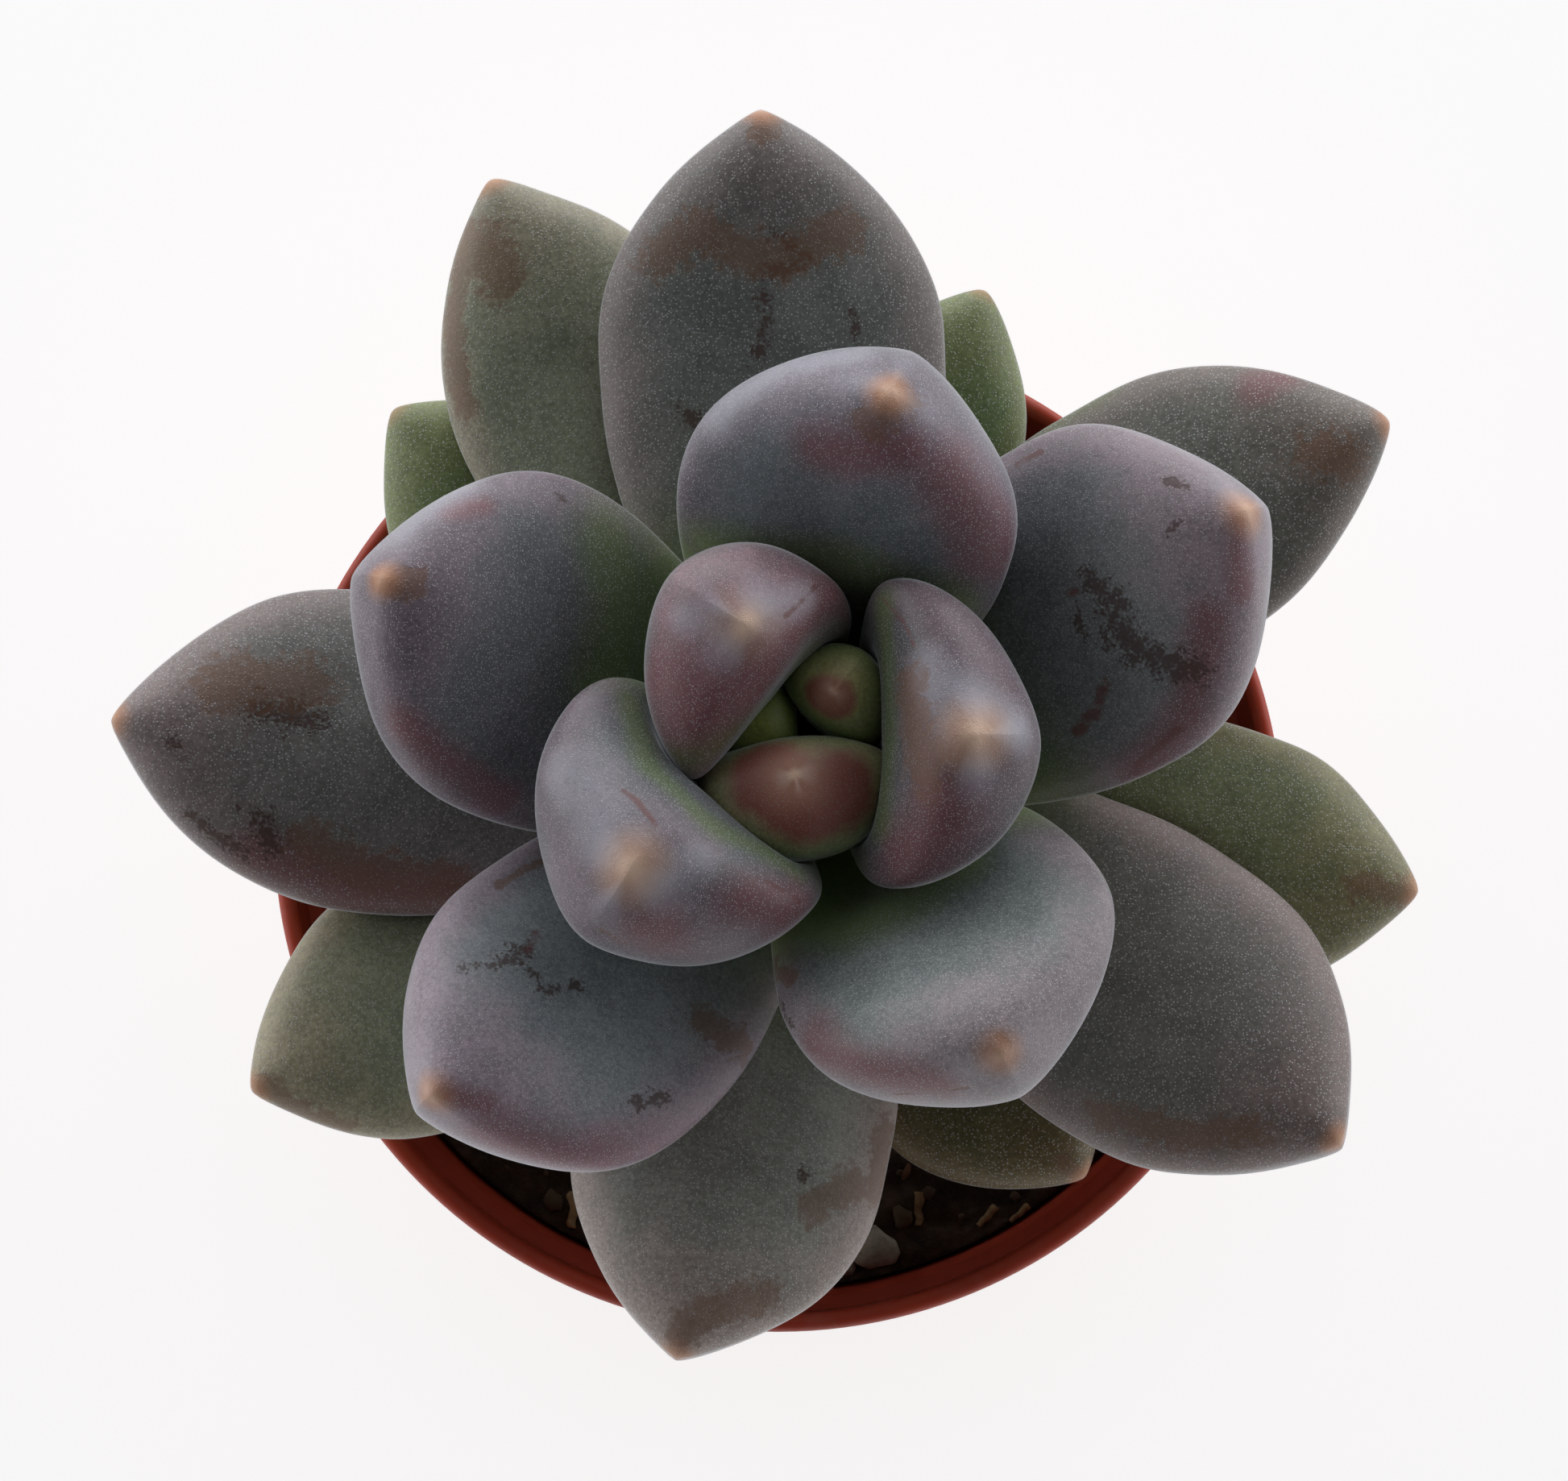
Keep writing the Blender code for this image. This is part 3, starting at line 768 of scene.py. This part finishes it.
def leaf_marks(kinds, index, points, normals, tree):
    """For each point and kind of mark: 1 on the middle line of a mark, 0 at its reach, -1 far off.

    A mark stays on the face of the leaf that it is seen on, and fades where the leaf turns away.
    """
    fields = np.full((len(points), len(kinds)), -1.0)
    for number, marks in enumerate(kinds):
        for leaf, reach, *pixels in marks:
            if leaf == index + 1:
                line = [seen_at(tree, pixel) for pixel in pixels]
                ways = [tree.find_nearest(Vector(spot))[1] for spot in line]
                turned_away = np.clip(-normals @ np.mean(ways, axis=0), 0, 1)
                distances = line_distances(points, line) / (reach * CAMERA_DISTANCE / FOCAL_PIXELS)
                field = np.clip(1 - distances - FAR_SIDE_FADE * turned_away, -1, 1)
                fields[:, number] = np.maximum(fields[:, number], field)
    return fields


def leaf_material(index, tip):
    """Skin with a patchy bloom and fine pale dots, partly painted glints, green towards its base with a
    pale green painted glow on young leaves, with marks, some partly painted shade and some partly painted
    highlight, and a brown tip with a star of ridges partly painted as highlight.
    """
    skin = SKINS[index]
    heart = index < HEART_LEAVES
    graph = Graph(bpy.data.materials.new(f"leaf_{index + 1:02d}_skin"))
    place = graph.place()
    along, across, upper = graph.split(graph.attribute("place"))
    bare, rust, red = graph.split(graph.attribute("wear"))
    maroon_and_shade, green, pale = graph.split(graph.attribute("tint"))
    broad, blotch, ragged, grain, speckle = [graph.noise(place, *kind) for kind in SKIN_NOISES]

    patchy = graph.add(graph.around(ragged, 3.0), graph.around(blotch, 0.8))
    bare = graph.edged(bare, graph.add(graph.around(speckle, 2.2), patchy), 0.20, 0.90)
    red = graph.edged(red, graph.times(patchy, 0.6), 0.10, 0.80)
    rust = graph.edged(rust, graph.times(patchy, 0.8), 0.10, 0.60)
    soft = graph.around(blotch, 0.7)
    maroon_and_shade = graph.edged(maroon_and_shade, soft, 0.0, 0.5 if heart else 0.9)
    green = graph.edged(green, soft, 0.0, 0.9)
    pale = graph.edged(pale, soft, 0.0, 0.9)

    coarse = graph.add(graph.times(blotch, 0.35), graph.times(broad, 0.20))
    bloom = graph.edged(graph.times(grain, 0.45), coarse, 0.38, 0.62)
    margin = graph.math("ABSOLUTE", across)
    rim = graph.most(graph.step(margin, 0.45, 1.0), graph.step(along, 0.60, 1.0))
    blush = graph.edged(rim, graph.add(graph.around(blotch, 0.9), graph.around(broad, 0.6)), 0.15, 1.0)
    rim_tint = RIM_TINT if index < OUTER_LEAVES else OUTER_RIM_TINT
    dull, bright = [
        graph.mix(blush, tinted(skin.main, MIDDLE_TINT, light), tinted(skin.main, rim_tint, light))
        for light in (DULL, BRIGHT)
    ]
    colour = graph.mix(bloom, dull, bright)

    based = graph.edged(along, graph.around(broad, 0.35), skin.green_to + 0.12, skin.green_to - 0.18)
    green = graph.most(graph.times(green, GREEN_MARK_SHARE), graph.times(based, GREEN_BASE_SHARE))
    # On young leaves the flesh is paler towards the base: painted glow of light through it.
    innermost = YOUNG_FLESH_GLOW if index < YOUNG_LEAVES else GREEN_FLESH
    glow_span = (0.18, 0.36) if skin.star == 1.0 else (0.30, 0.56)
    flesh = graph.mix(graph.step(along, *glow_span), innermost, GREEN_FLESH)
    # Greener skin: green flesh, partly painted glow at young leaves' bases and partly painted shade beside
    # the heart's gaps.
    colour = graph.mix(green, colour, flesh)
    # Redder skin, partly painted shade beside the heart's gaps.
    colour = graph.over(colour, maroon_and_shade, *(HEART_RED if heart else MAROON_AND_SHADE))
    # Paler skin: more bloom, partly painted highlight.
    colour = graph.over(colour, pale, *PALE_WAX_AND_HIGHLIGHT)

    # Fine pale dots on the skin's cells, partly painted glints.
    dot_rows = DOT_ROWS[(index >= INNER_LEAVES) + (index >= OUTER_LEAVES)]
    dots = graph.step(graph.cells(place, dot_rows, 0.8), 0.36, 0.12)
    dots = graph.times(dots, graph.times(graph.step(along, 0.1, 0.5), graph.less(graph.times(bare, 0.8))))
    pits = graph.step(speckle, 0.58, 0.76)
    colour = graph.over(colour, pits, tinted(skin.main, rim_tint, PIT_SHADE), PIT_SHARE)
    colour = graph.over(colour, dots, DOT_WAX_AND_GLINT, HEART_DOT_SHARE if heart else DOT_SHARE)
    colour = graph.over(colour, bare, *BARE_FLESH)
    colour = graph.over(colour, rust, *RUST)
    colour = graph.over(colour, red, *RED_STAIN)
    colour = tipped(graph, colour, index, graph.away(place, tip), blotch, margin, upper)

    relief = graph.add(graph.times(dots, 0.5), graph.times(grain, 0.7))
    relief = graph.add(relief, graph.times(graph.most(rust, bare), -0.5))
    graph.set(
        Base_Color=colour,
        Roughness=graph.step(bloom, 0.0, 1.0, 0.46, 0.58),
        Sheen_Weight=1.0,
        Sheen_Roughness=0.26,
        Sheen_Tint=SHEEN_TINT,
        Coat_Weight=0.15,
        Coat_Roughness=0.40,
        Specular_IOR_Level=0.4,
        Normal=graph.bump(relief, 0.00004, 0.8),
    )
    return graph.owner


def tipped(graph, colour, index, away, blotch, margin, upper):
    """The skin's colour with the brown spot, and the star of pale ridges and the point at the tip, both
    partly painted highlight.
    """
    skin = SKINS[index]
    heart = index < HEART_LEAVES
    edge = graph.add(away, graph.around(blotch, 0.0008))
    spot = graph.step(edge, 0.0014 + 0.0014 * skin.star, 0.0002)
    ridge = graph.most(graph.step(margin, 0.72, 1.0), graph.step(graph.times(upper, -1.0), 0.80, 1.0))
    reach = min(RIDGE_REACH, LEAVES[index].length * (0.17 if heart else 0.30))
    ridge = graph.times(graph.times(ridge, graph.step(edge, reach, 0.0002)), skin.star)
    ridge_highlight_end = RIDGE_HIGHLIGHT_PEACH if heart else RIDGE_HIGHLIGHT_BLUE
    ridge_highlight_colour = graph.mix(graph.step(away, 0.5 * reach, 0.1 * reach), ridge_highlight_end, RIDGE_HIGHLIGHT_PEACH)
    point_size = min(0.35 * reach, 0.0007 + 0.0004 * skin.star)
    point = graph.edged(away, graph.around(blotch, 0.3 * point_size), point_size, 0.0)
    colour = graph.over(colour, spot, mixed(TIP_BROWN, TIP_PEACH, skin.star), SPOT_SHARE * skin.spot)
    # The star of ridges and the point at the tip, partly painted highlight.
    colour = graph.over(colour, ridge, ridge_highlight_colour, RIDGE_SHARE)
    return graph.over(colour, point, TIP_POINT_HIGHLIGHT, 0.20 * skin.spot + 0.65 * skin.star)


def mixed(first, second, share):
    return tuple(a + (b - a) * share for a, b in zip(first, second))


def tinted(colour, tint, strength):
    return tuple(strength * a * b for a, b in zip(colour, tint))


def uneven(surface):
    """The rings of a leaf with the shallow dents and swellings of a grown thing."""
    middles = surface.mean(axis=1, keepdims=True)
    ways = surface - middles
    sizes = np.linalg.norm(ways, axis=2, keepdims=True)
    swells = [[noise.noise(Vector(point) * DENTS_PER_METRE) for point in ring] for ring in surface]
    swells = DENT_DEPTH * np.array(swells)[:, :, None] * np.minimum(1, sizes / DENT_FREE_SIZE)
    return surface + swells * ways / np.maximum(sizes, 1e-9)


def leaf_points(index):
    """A fine leaf's points: a collar that goes into the stem, the rings, and the two ends."""
    surface, tip = leaf_rings(index)
    middle = surface[0].mean(axis=0)
    inward = stem_axis(middle[2]) - middle
    inward /= np.linalg.norm(inward)
    collar = surface[0] + COLLAR_DEPTH * inward
    surface = uneven(surface).reshape(-1, 3)
    return np.concatenate([collar, surface, [collar.mean(axis=0), tip]])


def leaf_places():
    """For each point of a leaf: its share along the leaf, across it, and towards the upper face."""
    shares = np.concatenate([[0.0], ring_shares()[:-1]])
    angles = np.tile(2 * math.pi * np.arange(LEAF_SIDES) / LEAF_SIDES, LEAF_RINGS)
    places = np.stack([np.repeat(shares, LEAF_SIDES), np.cos(angles), np.sin(angles)], axis=1)
    return np.concatenate([places, [(0.0, 0.0, 0.0), (1.0, 0.0, 0.0)]])


def make_leaf(index, neighbours):
    faces = tube_faces(LEAF_RINGS, LEAF_SIDES)
    points = pressed(leaf_points(index), neighbours)
    node = f"leaf_{index + 1:02d}"
    piece = new_piece(f"{node}_skin", points, faces, leaf_material(index, points[-1]))
    surface = neighbour(points, faces)
    normals = np.array([normal.vector for normal in piece.data.vertex_normals])
    set_attribute(piece.data, "place", leaf_places())
    for name, kinds in (("wear", WEAR_MARKS), ("tint", TINT_MARKS)):
        set_attribute(piece.data, name, leaf_marks(kinds, index, points, normals, surface.tree))
    finish_piece(piece, node)
    neighbours.append(surface)


def make_leaves():
    neighbours = [node_surface("pot")]
    for index in range(len(LEAVES)):
        make_leaf(index, neighbours)


def node_surface(node):
    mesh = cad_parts[node].data
    places = [tuple(vertex.co) for vertex in mesh.vertices]
    return neighbour(places, [tuple(polygon.vertices) for polygon in mesh.polygons])


def finish_piece(piece, node=None):
    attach(piece, "root")
    if node:
        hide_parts(node)


# Pot


def body_radius(height):
    """The outer radius of the tapered wall under the rim band."""
    share = height / (POT_HEIGHT - RIM_BAND_HEIGHT)
    return BASE_DIAMETER / 2 + share * (BODY_TOP_DIAMETER - BASE_DIAMETER) / 2


def inner_radius(height):
    return body_radius(height) - WALL


def arc(centre_x, centre_z, radius, start, end, steps=8):
    """Points of a round in the X-Z plane; angles run from +X towards +Z."""
    angles = np.radians(np.linspace(start, end, steps + 1))
    return [(centre_x + radius * math.cos(a), centre_z + radius * math.sin(a)) for a in angles]


def pot_profile():
    """From the lip down the outside, under the base to its middle, and up the inside."""
    rim = RIM_DIAMETER / 2
    lip = WALL / 2
    band_foot = POT_HEIGHT - RIM_BAND_HEIGHT
    ledge = band_foot + WALL
    corner = BASE_CORNER_RADIUS
    seam = POT_SEAM_DEPTH
    points = arc(rim - lip, POT_HEIGHT - lip, lip, 90, 0)
    points += [(rim - RIM_DRAFT * (POT_HEIGHT - z) / RIM_BAND_HEIGHT, z) for z in POT_BAND_RINGS]
    points += arc(rim - RIM_DRAFT - lip, band_foot + lip, lip, 0, -90)
    points += arc(body_radius(band_foot) + RIM_FILLET, band_foot - RIM_FILLET, RIM_FILLET, 90, 180)
    for height in POT_SEAMS:
        wall = body_radius(height)
        points += [(wall, height + seam), (wall - seam, height)]
        points += [(body_radius(height - seam), height - seam)]
    points += arc(body_radius(corner) - corner, corner, corner, 0, -90)
    points += [(POT_FOOT_RING, 0.0), (POT_FOOT_RING - seam, seam), (0.0, seam), (0.0, BASE_THICKNESS)]
    points += [(inner_radius(height), height) for height in (BASE_THICKNESS, ledge - lip)]
    points += [(inner_radius(ledge) + lip / 2, ledge)]
    points += [(rim - RIM_DRAFT - WALL, ledge + lip / 2)]
    points += arc(rim - lip, POT_HEIGHT - lip, lip, 180, 90)[:-1]
    return points


def turned(profile, segments):
    """Points and faces of a closed profile of (radius, height) points turned about Z."""
    points = []
    rings = []
    for radius, height in profile:
        if radius == 0.0:
            rings.append([len(points)] * segments)
            points.append((0.0, 0.0, height))
        else:
            rings.append(list(range(len(points), len(points) + segments)))
            turns = [2 * math.pi * number / segments for number in range(segments)]
            points += [(radius * math.cos(turn), radius * math.sin(turn), height) for turn in turns]
    faces = []
    for upper, lower in zip(rings, rings[1:] + rings[:1]):
        for side in range(segments):
            after = (side + 1) % segments
            corners = [upper[side], upper[after], lower[after], lower[side]]
            corners = list(dict.fromkeys(corners))
            if len(corners) > 2:
                faces.append(tuple(reversed(corners)))
    return points, faces


def cut_round_holes(piece, places, radius, depth):
    """Cuts upright round holes through a piece, centred at the given points."""
    for place in places:
        shape = bmesh.new()
        bmesh.ops.create_cone(
            shape, cap_ends=True, segments=48, depth=depth, radius1=radius, radius2=radius,
            matrix=Matrix.Translation(place),
        )
        mesh = bpy.data.meshes.new("cutter")
        shape.to_mesh(mesh)
        shape.free()
        cutter = bpy.data.objects.new("cutter", mesh)
        bpy.context.scene.collection.objects.link(cutter)
        boolean = piece.modifiers.new("Cut", "BOOLEAN")
        boolean.object = cutter
        boolean.solver = "EXACT"
        graph = bpy.context.evaluated_depsgraph_get()
        whole = piece.data
        piece.data = bpy.data.meshes.new_from_object(piece.evaluated_get(graph))
        piece.modifiers.clear()
        bpy.data.meshes.remove(whole)
        bpy.data.objects.remove(cutter, do_unlink=True)


def pot_material():
    """Red-brown moulded plastic, a little scuffed, with pale film where water dries."""
    graph = Graph(bpy.data.materials.new("pot_plastic"))
    place = graph.place()
    height = graph.split(place)[2]
    cloud = graph.noise(place, 90.0, 3.0)
    flow = graph.noise(graph.stretched(place, (30.0, 30.0, 900.0)), 1.0, 3.0, 0.6)
    scuffs = graph.noise(graph.stretched(place, (900.0, 900.0, 90.0)), 1.0, 4.0, 0.7)
    pits = graph.noise(place, 3800.0, 2.0)
    film_edge = graph.add(height, graph.around(cloud, 0.010))
    rim_film = graph.times(graph.step(film_edge, 0.047, 0.052), 0.35)
    film = graph.most(graph.step(film_edge, 0.0065, 0.0005), rim_film)
    film = graph.times(film, graph.step(graph.noise(place, 700.0, 4.0, 0.7), 0.42, 0.68))
    scuffs = graph.step(scuffs, 0.63, 0.72)

    colour = graph.mix(graph.step(cloud, 0.3, 0.7), POT_RED, POT_DARK_RED)
    colour = graph.over(colour, graph.step(flow, 0.45, 0.7), POT_LIGHT_RED, 0.12)
    colour = graph.over(colour, scuffs, POT_LIGHT_RED, 0.20)
    colour = graph.over(colour, film, POT_FILM, 0.16)
    relief = graph.add(graph.times(flow, 0.8), graph.times(scuffs, -0.4))
    relief = graph.add(graph.times(pits, 0.5), relief)
    rough = graph.add(graph.step(cloud, 0.3, 0.7, 0.34, 0.44), graph.times(graph.most(film, scuffs), 0.2))
    graph.set(
        Base_Color=colour, Roughness=rough, Specular_IOR_Level=0.35,
        Normal=graph.bump(relief, 0.00003, 0.6),
    )
    return graph.owner


def make_pot():
    points, faces = turned(pot_profile(), POT_SEGMENTS)
    piece = new_piece("pot_wall", points, faces, pot_material())
    circle = DRAIN_HOLE_CIRCLE / 2
    turns = [math.radians(45 + number * 360 / DRAIN_HOLES) for number in range(DRAIN_HOLES)]
    places = [(circle * math.cos(turn), circle * math.sin(turn), BASE_THICKNESS / 2) for turn in turns]
    cut_round_holes(piece, places, DRAIN_HOLE_DIAMETER / 2, 4 * BASE_THICKNESS)
    piece.data.set_sharp_from_angle(angle=math.radians(35))
    finish_piece(piece, "pot")


# Soil and stem


def soil_relief(x, y, top_radius):
    """How far the soil's surface stands above its level: the CAD's lumps, and finer ones on them."""
    away = Vector((x, y, 0.0)) / SOIL_LUMP_SIZE
    lumps = noise.noise(away) + 0.5 * noise.noise(2.3 * away)
    edge = min(1.0, (top_radius - math.hypot(x, y)) / (0.2 * top_radius))
    coarse = SOIL_RELIEF * lumps * (0.35 + 0.65 * max(0.0, edge))
    fine = CLOD_RELIEF * noise.turbulence(3.6 * away, 3, False) + GRIT_RELIEF * noise.noise(14 * away)
    return coarse + fine - SOIL_SETTLED


def soil_rings():
    """Rings of points from the stem hole's foot over the soil to the middle of its underside."""
    foot = BASE_THICKNESS + GAP
    top_radius = inner_radius(SOIL_LEVEL) - GAP
    foot_radius = inner_radius(foot) - GAP
    turns = 2 * math.pi * np.arange(SOIL_SIDES) / SOIL_SIDES
    round_x, round_y = np.cos(turns), np.sin(turns)
    hole = STEM_DIAMETER / 2 + STEM_CLEARANCE
    hole_x, hole_y = STEM_FOOT[0] + hole * round_x, STEM_FOOT[1] + hole * round_y
    deep = SOIL_LEVEL - STEM_BURIED - GAP
    rings = [np.stack([hole_x, hole_y, np.full(SOIL_SIDES, deep)], axis=1)]
    for number in range(SOIL_RINGS + 1):
        share = number / SOIL_RINGS
        x = hole_x + share * (top_radius * round_x - hole_x)
        y = hole_y + share * (top_radius * round_y - hole_y)
        z = [SOIL_LEVEL + soil_relief(*spot, top_radius) for spot in zip(x, y)]
        rings.append(np.stack([x, y, z], axis=1))
    underside = [foot_radius * round_x, foot_radius * round_y, np.full(SOIL_SIDES, foot)]
    return rings + [np.stack(underside, axis=1)]


def soil_material(name, dark, light, relief_size):
    """Dull clods and grit from a dark to a light colour."""
    graph = Graph(bpy.data.materials.new(name))
    place = graph.place()
    clods = graph.noise(place, 480.0, 4.0, 0.65)
    grit = graph.noise(place, 2400.0, 3.0, 0.7)
    colour = graph.mix(graph.step(clods, 0.35, 0.68), dark, light)
    colour = graph.over(colour, graph.step(grit, 0.56, 0.70), mixed(light, SOIL_FLECK, 0.5), 0.5)
    relief = graph.add(graph.times(clods, 0.6), grit)
    graph.set(
        Base_Color=colour, Roughness=graph.step(grit, 0.3, 0.7, 0.80, 0.97), Specular_IOR_Level=0.25,
        Normal=graph.bump(relief, relief_size, 0.9),
    )
    return graph.owner


def lump(middle, size, seed, up):
    """Points and faces of one rough crumb: a small ball, stretched and dented."""
    shape = bmesh.new()
    bmesh.ops.create_icosphere(shape, subdivisions=2, radius=1.0)
    turn = Euler((seed * 1.7, seed * 2.3, seed * 3.1)).to_matrix()
    points = []
    for vertex in shape.verts:
        dent = 1 + 0.32 * noise.noise(1.6 * vertex.co + Vector((seed, 2 * seed, 3 * seed)))
        stretched = Vector(a * b for a, b in zip(vertex.co * dent, size))
        points.append(tuple(middle + up + turn @ stretched))
    faces = [tuple(vertex.index for vertex in face.verts) for face in shape.faces]
    shape.free()
    return points, faces


def joined(name, shapes, material):
    """One piece from several sets of points and faces."""
    points = []
    faces = []
    for some_points, some_faces in shapes:
        faces += [tuple(corner + len(points) for corner in face) for face in some_faces]
        points += [tuple(point) for point in some_points]
    return new_piece(name, points, faces, material)


def chance(number, kind):
    """A number from 0 to 1 that looks random and is the same each time."""
    return 0.5 + 0.5 * noise.cell(Vector((number, kind + 0.5, 0.5)))


def scattered(tree, count, least, most, flat, first):
    """Crumbs spread evenly over the soil, each sunk in it by about a third."""
    reach = inner_radius(SOIL_LEVEL) - 2 * GAP
    shapes = []
    for number in range(first, first + count):
        turn = number * GOLDEN_ANGLE
        swing = chance(number, 0)
        size = least + (most - least) * chance(number, 7) ** 2
        away = (reach - size * 1.2) * math.sqrt((number - first + swing) / count)
        if away < STEM_DIAMETER / 2 + 1.6 * size + 0.001:
            continue
        spot = tree.ray_cast(Vector((away * math.cos(turn), away * math.sin(turn), POT_HEIGHT)), DOWN)[0]
        if spot is not None:
            sizes = (size, size * (0.6 + 0.3 * swing), size * flat)
            shapes.append(lump(spot, sizes, number * 0.37, Vector((0, 0, 0.3 * size * flat))))
    return shapes


def rod(tree, start, end, radius, seed):
    """A twig that lies on the soil between two pixels of the photograph."""
    first, last = (seen_at(tree, pixel) for pixel in (start, end))
    rings = []
    way = (last - first) / np.linalg.norm(last - first)
    level = np.cross(way, (0, 0, 1.0))
    level /= np.linalg.norm(level)
    turns = 2 * math.pi * np.arange(TWIG_SIDES) / TWIG_SIDES
    ring = np.outer(np.cos(turns), level) + np.outer(np.sin(turns), np.cross(level, way))
    for share in np.linspace(0, 1, TWIG_RINGS):
        middle = first + share * (last - first)
        ground = tree.ray_cast(Vector((*middle[:2], POT_HEIGHT)), DOWN)[0]
        middle[2] = 0.5 * (middle[2] + ground[2]) + 0.6 * radius
        middle += 0.6 * radius * noise.noise(Vector((3 * share, seed, 0.0))) * level
        width = radius * (1 + 0.25 * noise.noise(Vector((5 * share, seed, 4.0)))) * (1 - 0.35 * share)
        rings.append(middle + width * ring)
    return tube(rings)


def make_soil():
    points, faces = tube(soil_rings())
    material = soil_material("soil_bed", SOIL_DARK, SOIL_BROWN, BED_RELIEF)
    finish_piece(new_piece("soil_bed", points, faces, material), "soil")
    tree = neighbour(points, faces).tree
    stones = []
    for pixel, sizes, seed in STONES:
        stones.append(lump(Vector(seen_at(tree, pixel)), sizes, seed, Vector((0, 0, 0.3 * sizes[2]))))
    loose = (
        ("soil_crumbs", scattered(tree, *CRUMBS), SOIL_BROWN, SOIL_FLECK),
        ("soil_bark", scattered(tree, *BARK), BARK_DARK, BARK_RED),
        ("soil_stones", stones, STONE_GREY, STONE_PALE),
        ("soil_twigs", [rod(tree, *twig) for twig in TWIGS], TWIG_BROWN, TWIG_TAN),
    )
    for name, shapes, dark, light in loose:
        finish_piece(joined(name, shapes, soil_material(name, dark, light, CRUMB_RELIEF)))


def stem_material():
    graph = Graph(bpy.data.materials.new("stem_bark"))
    place = graph.place()
    streaks = graph.noise(graph.stretched(place, (1500.0, 1500.0, 260.0)), 1.0, 4.0, 0.65)
    patches = graph.noise(place, 500.0, 3.0)
    scar = graph.split(graph.attribute("scar"))[0]
    colour = graph.mix(graph.step(streaks, 0.35, 0.65), STEM_BROWN, STEM_TAN)
    colour = graph.over(colour, graph.step(patches, 0.5, 0.7), GREEN_FLESH, 0.5)
    colour = graph.over(colour, graph.step(scar, 0.2, 0.8), STEM_SCAR, 0.7)
    relief = graph.add(streaks, graph.times(scar, -0.5))
    graph.set(
        Base_Color=colour, Roughness=graph.step(streaks, 0.3, 0.7, 0.68, 0.85), Specular_IOR_Level=0.3,
        Normal=graph.bump(relief, 0.00012, 0.8),
    )
    return graph.owner


def stem_scars():
    """The azimuth and height of each fallen leaf below the lowest one."""
    numbers = range(len(LEAVES), len(LEAVES) + STEM_SCARS)
    return [(math.radians(FIRST_AZIMUTH - DIVERGENCE * number), leaf_height(number)) for number in numbers]


def make_stem():
    """The stem, with ridged bark and the sunken scars of fallen leaves under the lowest ones."""
    foot = SOIL_LEVEL - STEM_BURIED
    scars = stem_scars()
    rings = []
    depths = []
    for number in range(STEM_RINGS):
        height = foot + (STEM_TIP[2] - foot) * math.sin(0.5 * math.pi * number / STEM_RINGS)
        radius = stem_radius(height)
        ring = []
        for turn in 2 * math.pi * np.arange(STEM_SIDES) / STEM_SIDES:
            depth = 0.0
            for azimuth, scar_height in scars:
                swing = math.remainder(turn - azimuth, 2 * math.pi) * radius
                away = math.hypot(swing / SCAR_HALF_WIDTH, (height - scar_height) / SCAR_HALF_HEIGHT)
                depth = max(depth, min(1.0, 2.5 * (1 - away)))
            way = np.array([math.cos(turn), math.sin(turn), 0.0])
            bark = noise.noise(Vector((2.6 * math.cos(turn), 2.6 * math.sin(turn), height * 500)))
            reach = radius * (1 + STEM_ROUGHNESS * bark) - SCAR_DEPTH * depth
            ring.append(stem_axis(height) + reach * way)
            depths.append((depth, 0.0, 0.0))
        rings.append(np.array(ring))
    points, faces = tube(rings)
    piece = new_piece("stem_bark", points, faces, stem_material())
    set_attribute(piece.data, "scar", depths + [(0.0, 0.0, 0.0)] * 2)
    finish_piece(piece, "stem")


# Floor, light and camera


def make_floor():
    graph = Graph(bpy.data.materials.new("floor"))
    graph.set(Base_Color=FLOOR_GREY, Roughness=0.9)
    graph.set(Emission_Color=(1.0, 1.0, 1.0), Emission_Strength=FLOOR_GLOW)
    signs = ((-1, -1), (1, -1), (1, 1), (-1, 1))
    corners = [(x * FLOOR_REACH, y * FLOOR_REACH, -FLOOR_CLEARANCE) for x, y in signs]
    new_piece("floor", corners, [(0, 1, 2, 3)], graph.owner)


def make_light():
    """A pale room: brightest low down behind the plant, softer at its sides, and dark overhead."""
    world = bpy.data.worlds.new("studio")
    bpy.context.scene.world = world
    graph = Graph(world, "Background")
    where = graph.node("ShaderNodeTexCoord", {}).outputs["Generated"]
    backward, upward = graph.split(where)[1:]
    low = graph.step(upward, 0.15, 0.45, 1.0, 0.0)
    high = graph.step(upward, 0.55, 0.90, 1.0, 0.0)
    low = graph.times(low, graph.step(backward, -0.6, 1.0, *LOW_LIGHT))
    high = graph.times(high, graph.step(backward, -0.8, 0.1, *HIGH_LIGHT))
    graph.set(Color=LIGHT_TINT, Strength=graph.add(low, high))


def make_camera():
    camera = bpy.data.cameras.new("camera")
    camera.sensor_width = SENSOR_WIDTH
    camera.lens = FOCAL_PIXELS / PHOTO_WIDTH * SENSOR_WIDTH
    camera.clip_start = 0.01
    carrier = bpy.data.objects.new("camera", camera)
    bpy.context.scene.collection.objects.link(carrier)
    look = Vector((0.0, math.sin(CAMERA_TILT), -math.cos(CAMERA_TILT)))
    carrier.location = CAMERA_AIM - CAMERA_DISTANCE * look
    carrier.rotation_euler = (CAMERA_TILT, 0.0, 0.0)
    bpy.context.scene.camera = carrier


make_camera()
make_pot()
make_soil()
make_stem()
make_leaves()
make_floor()
make_light()
bpy.context.scene.view_settings.view_transform = "Standard"
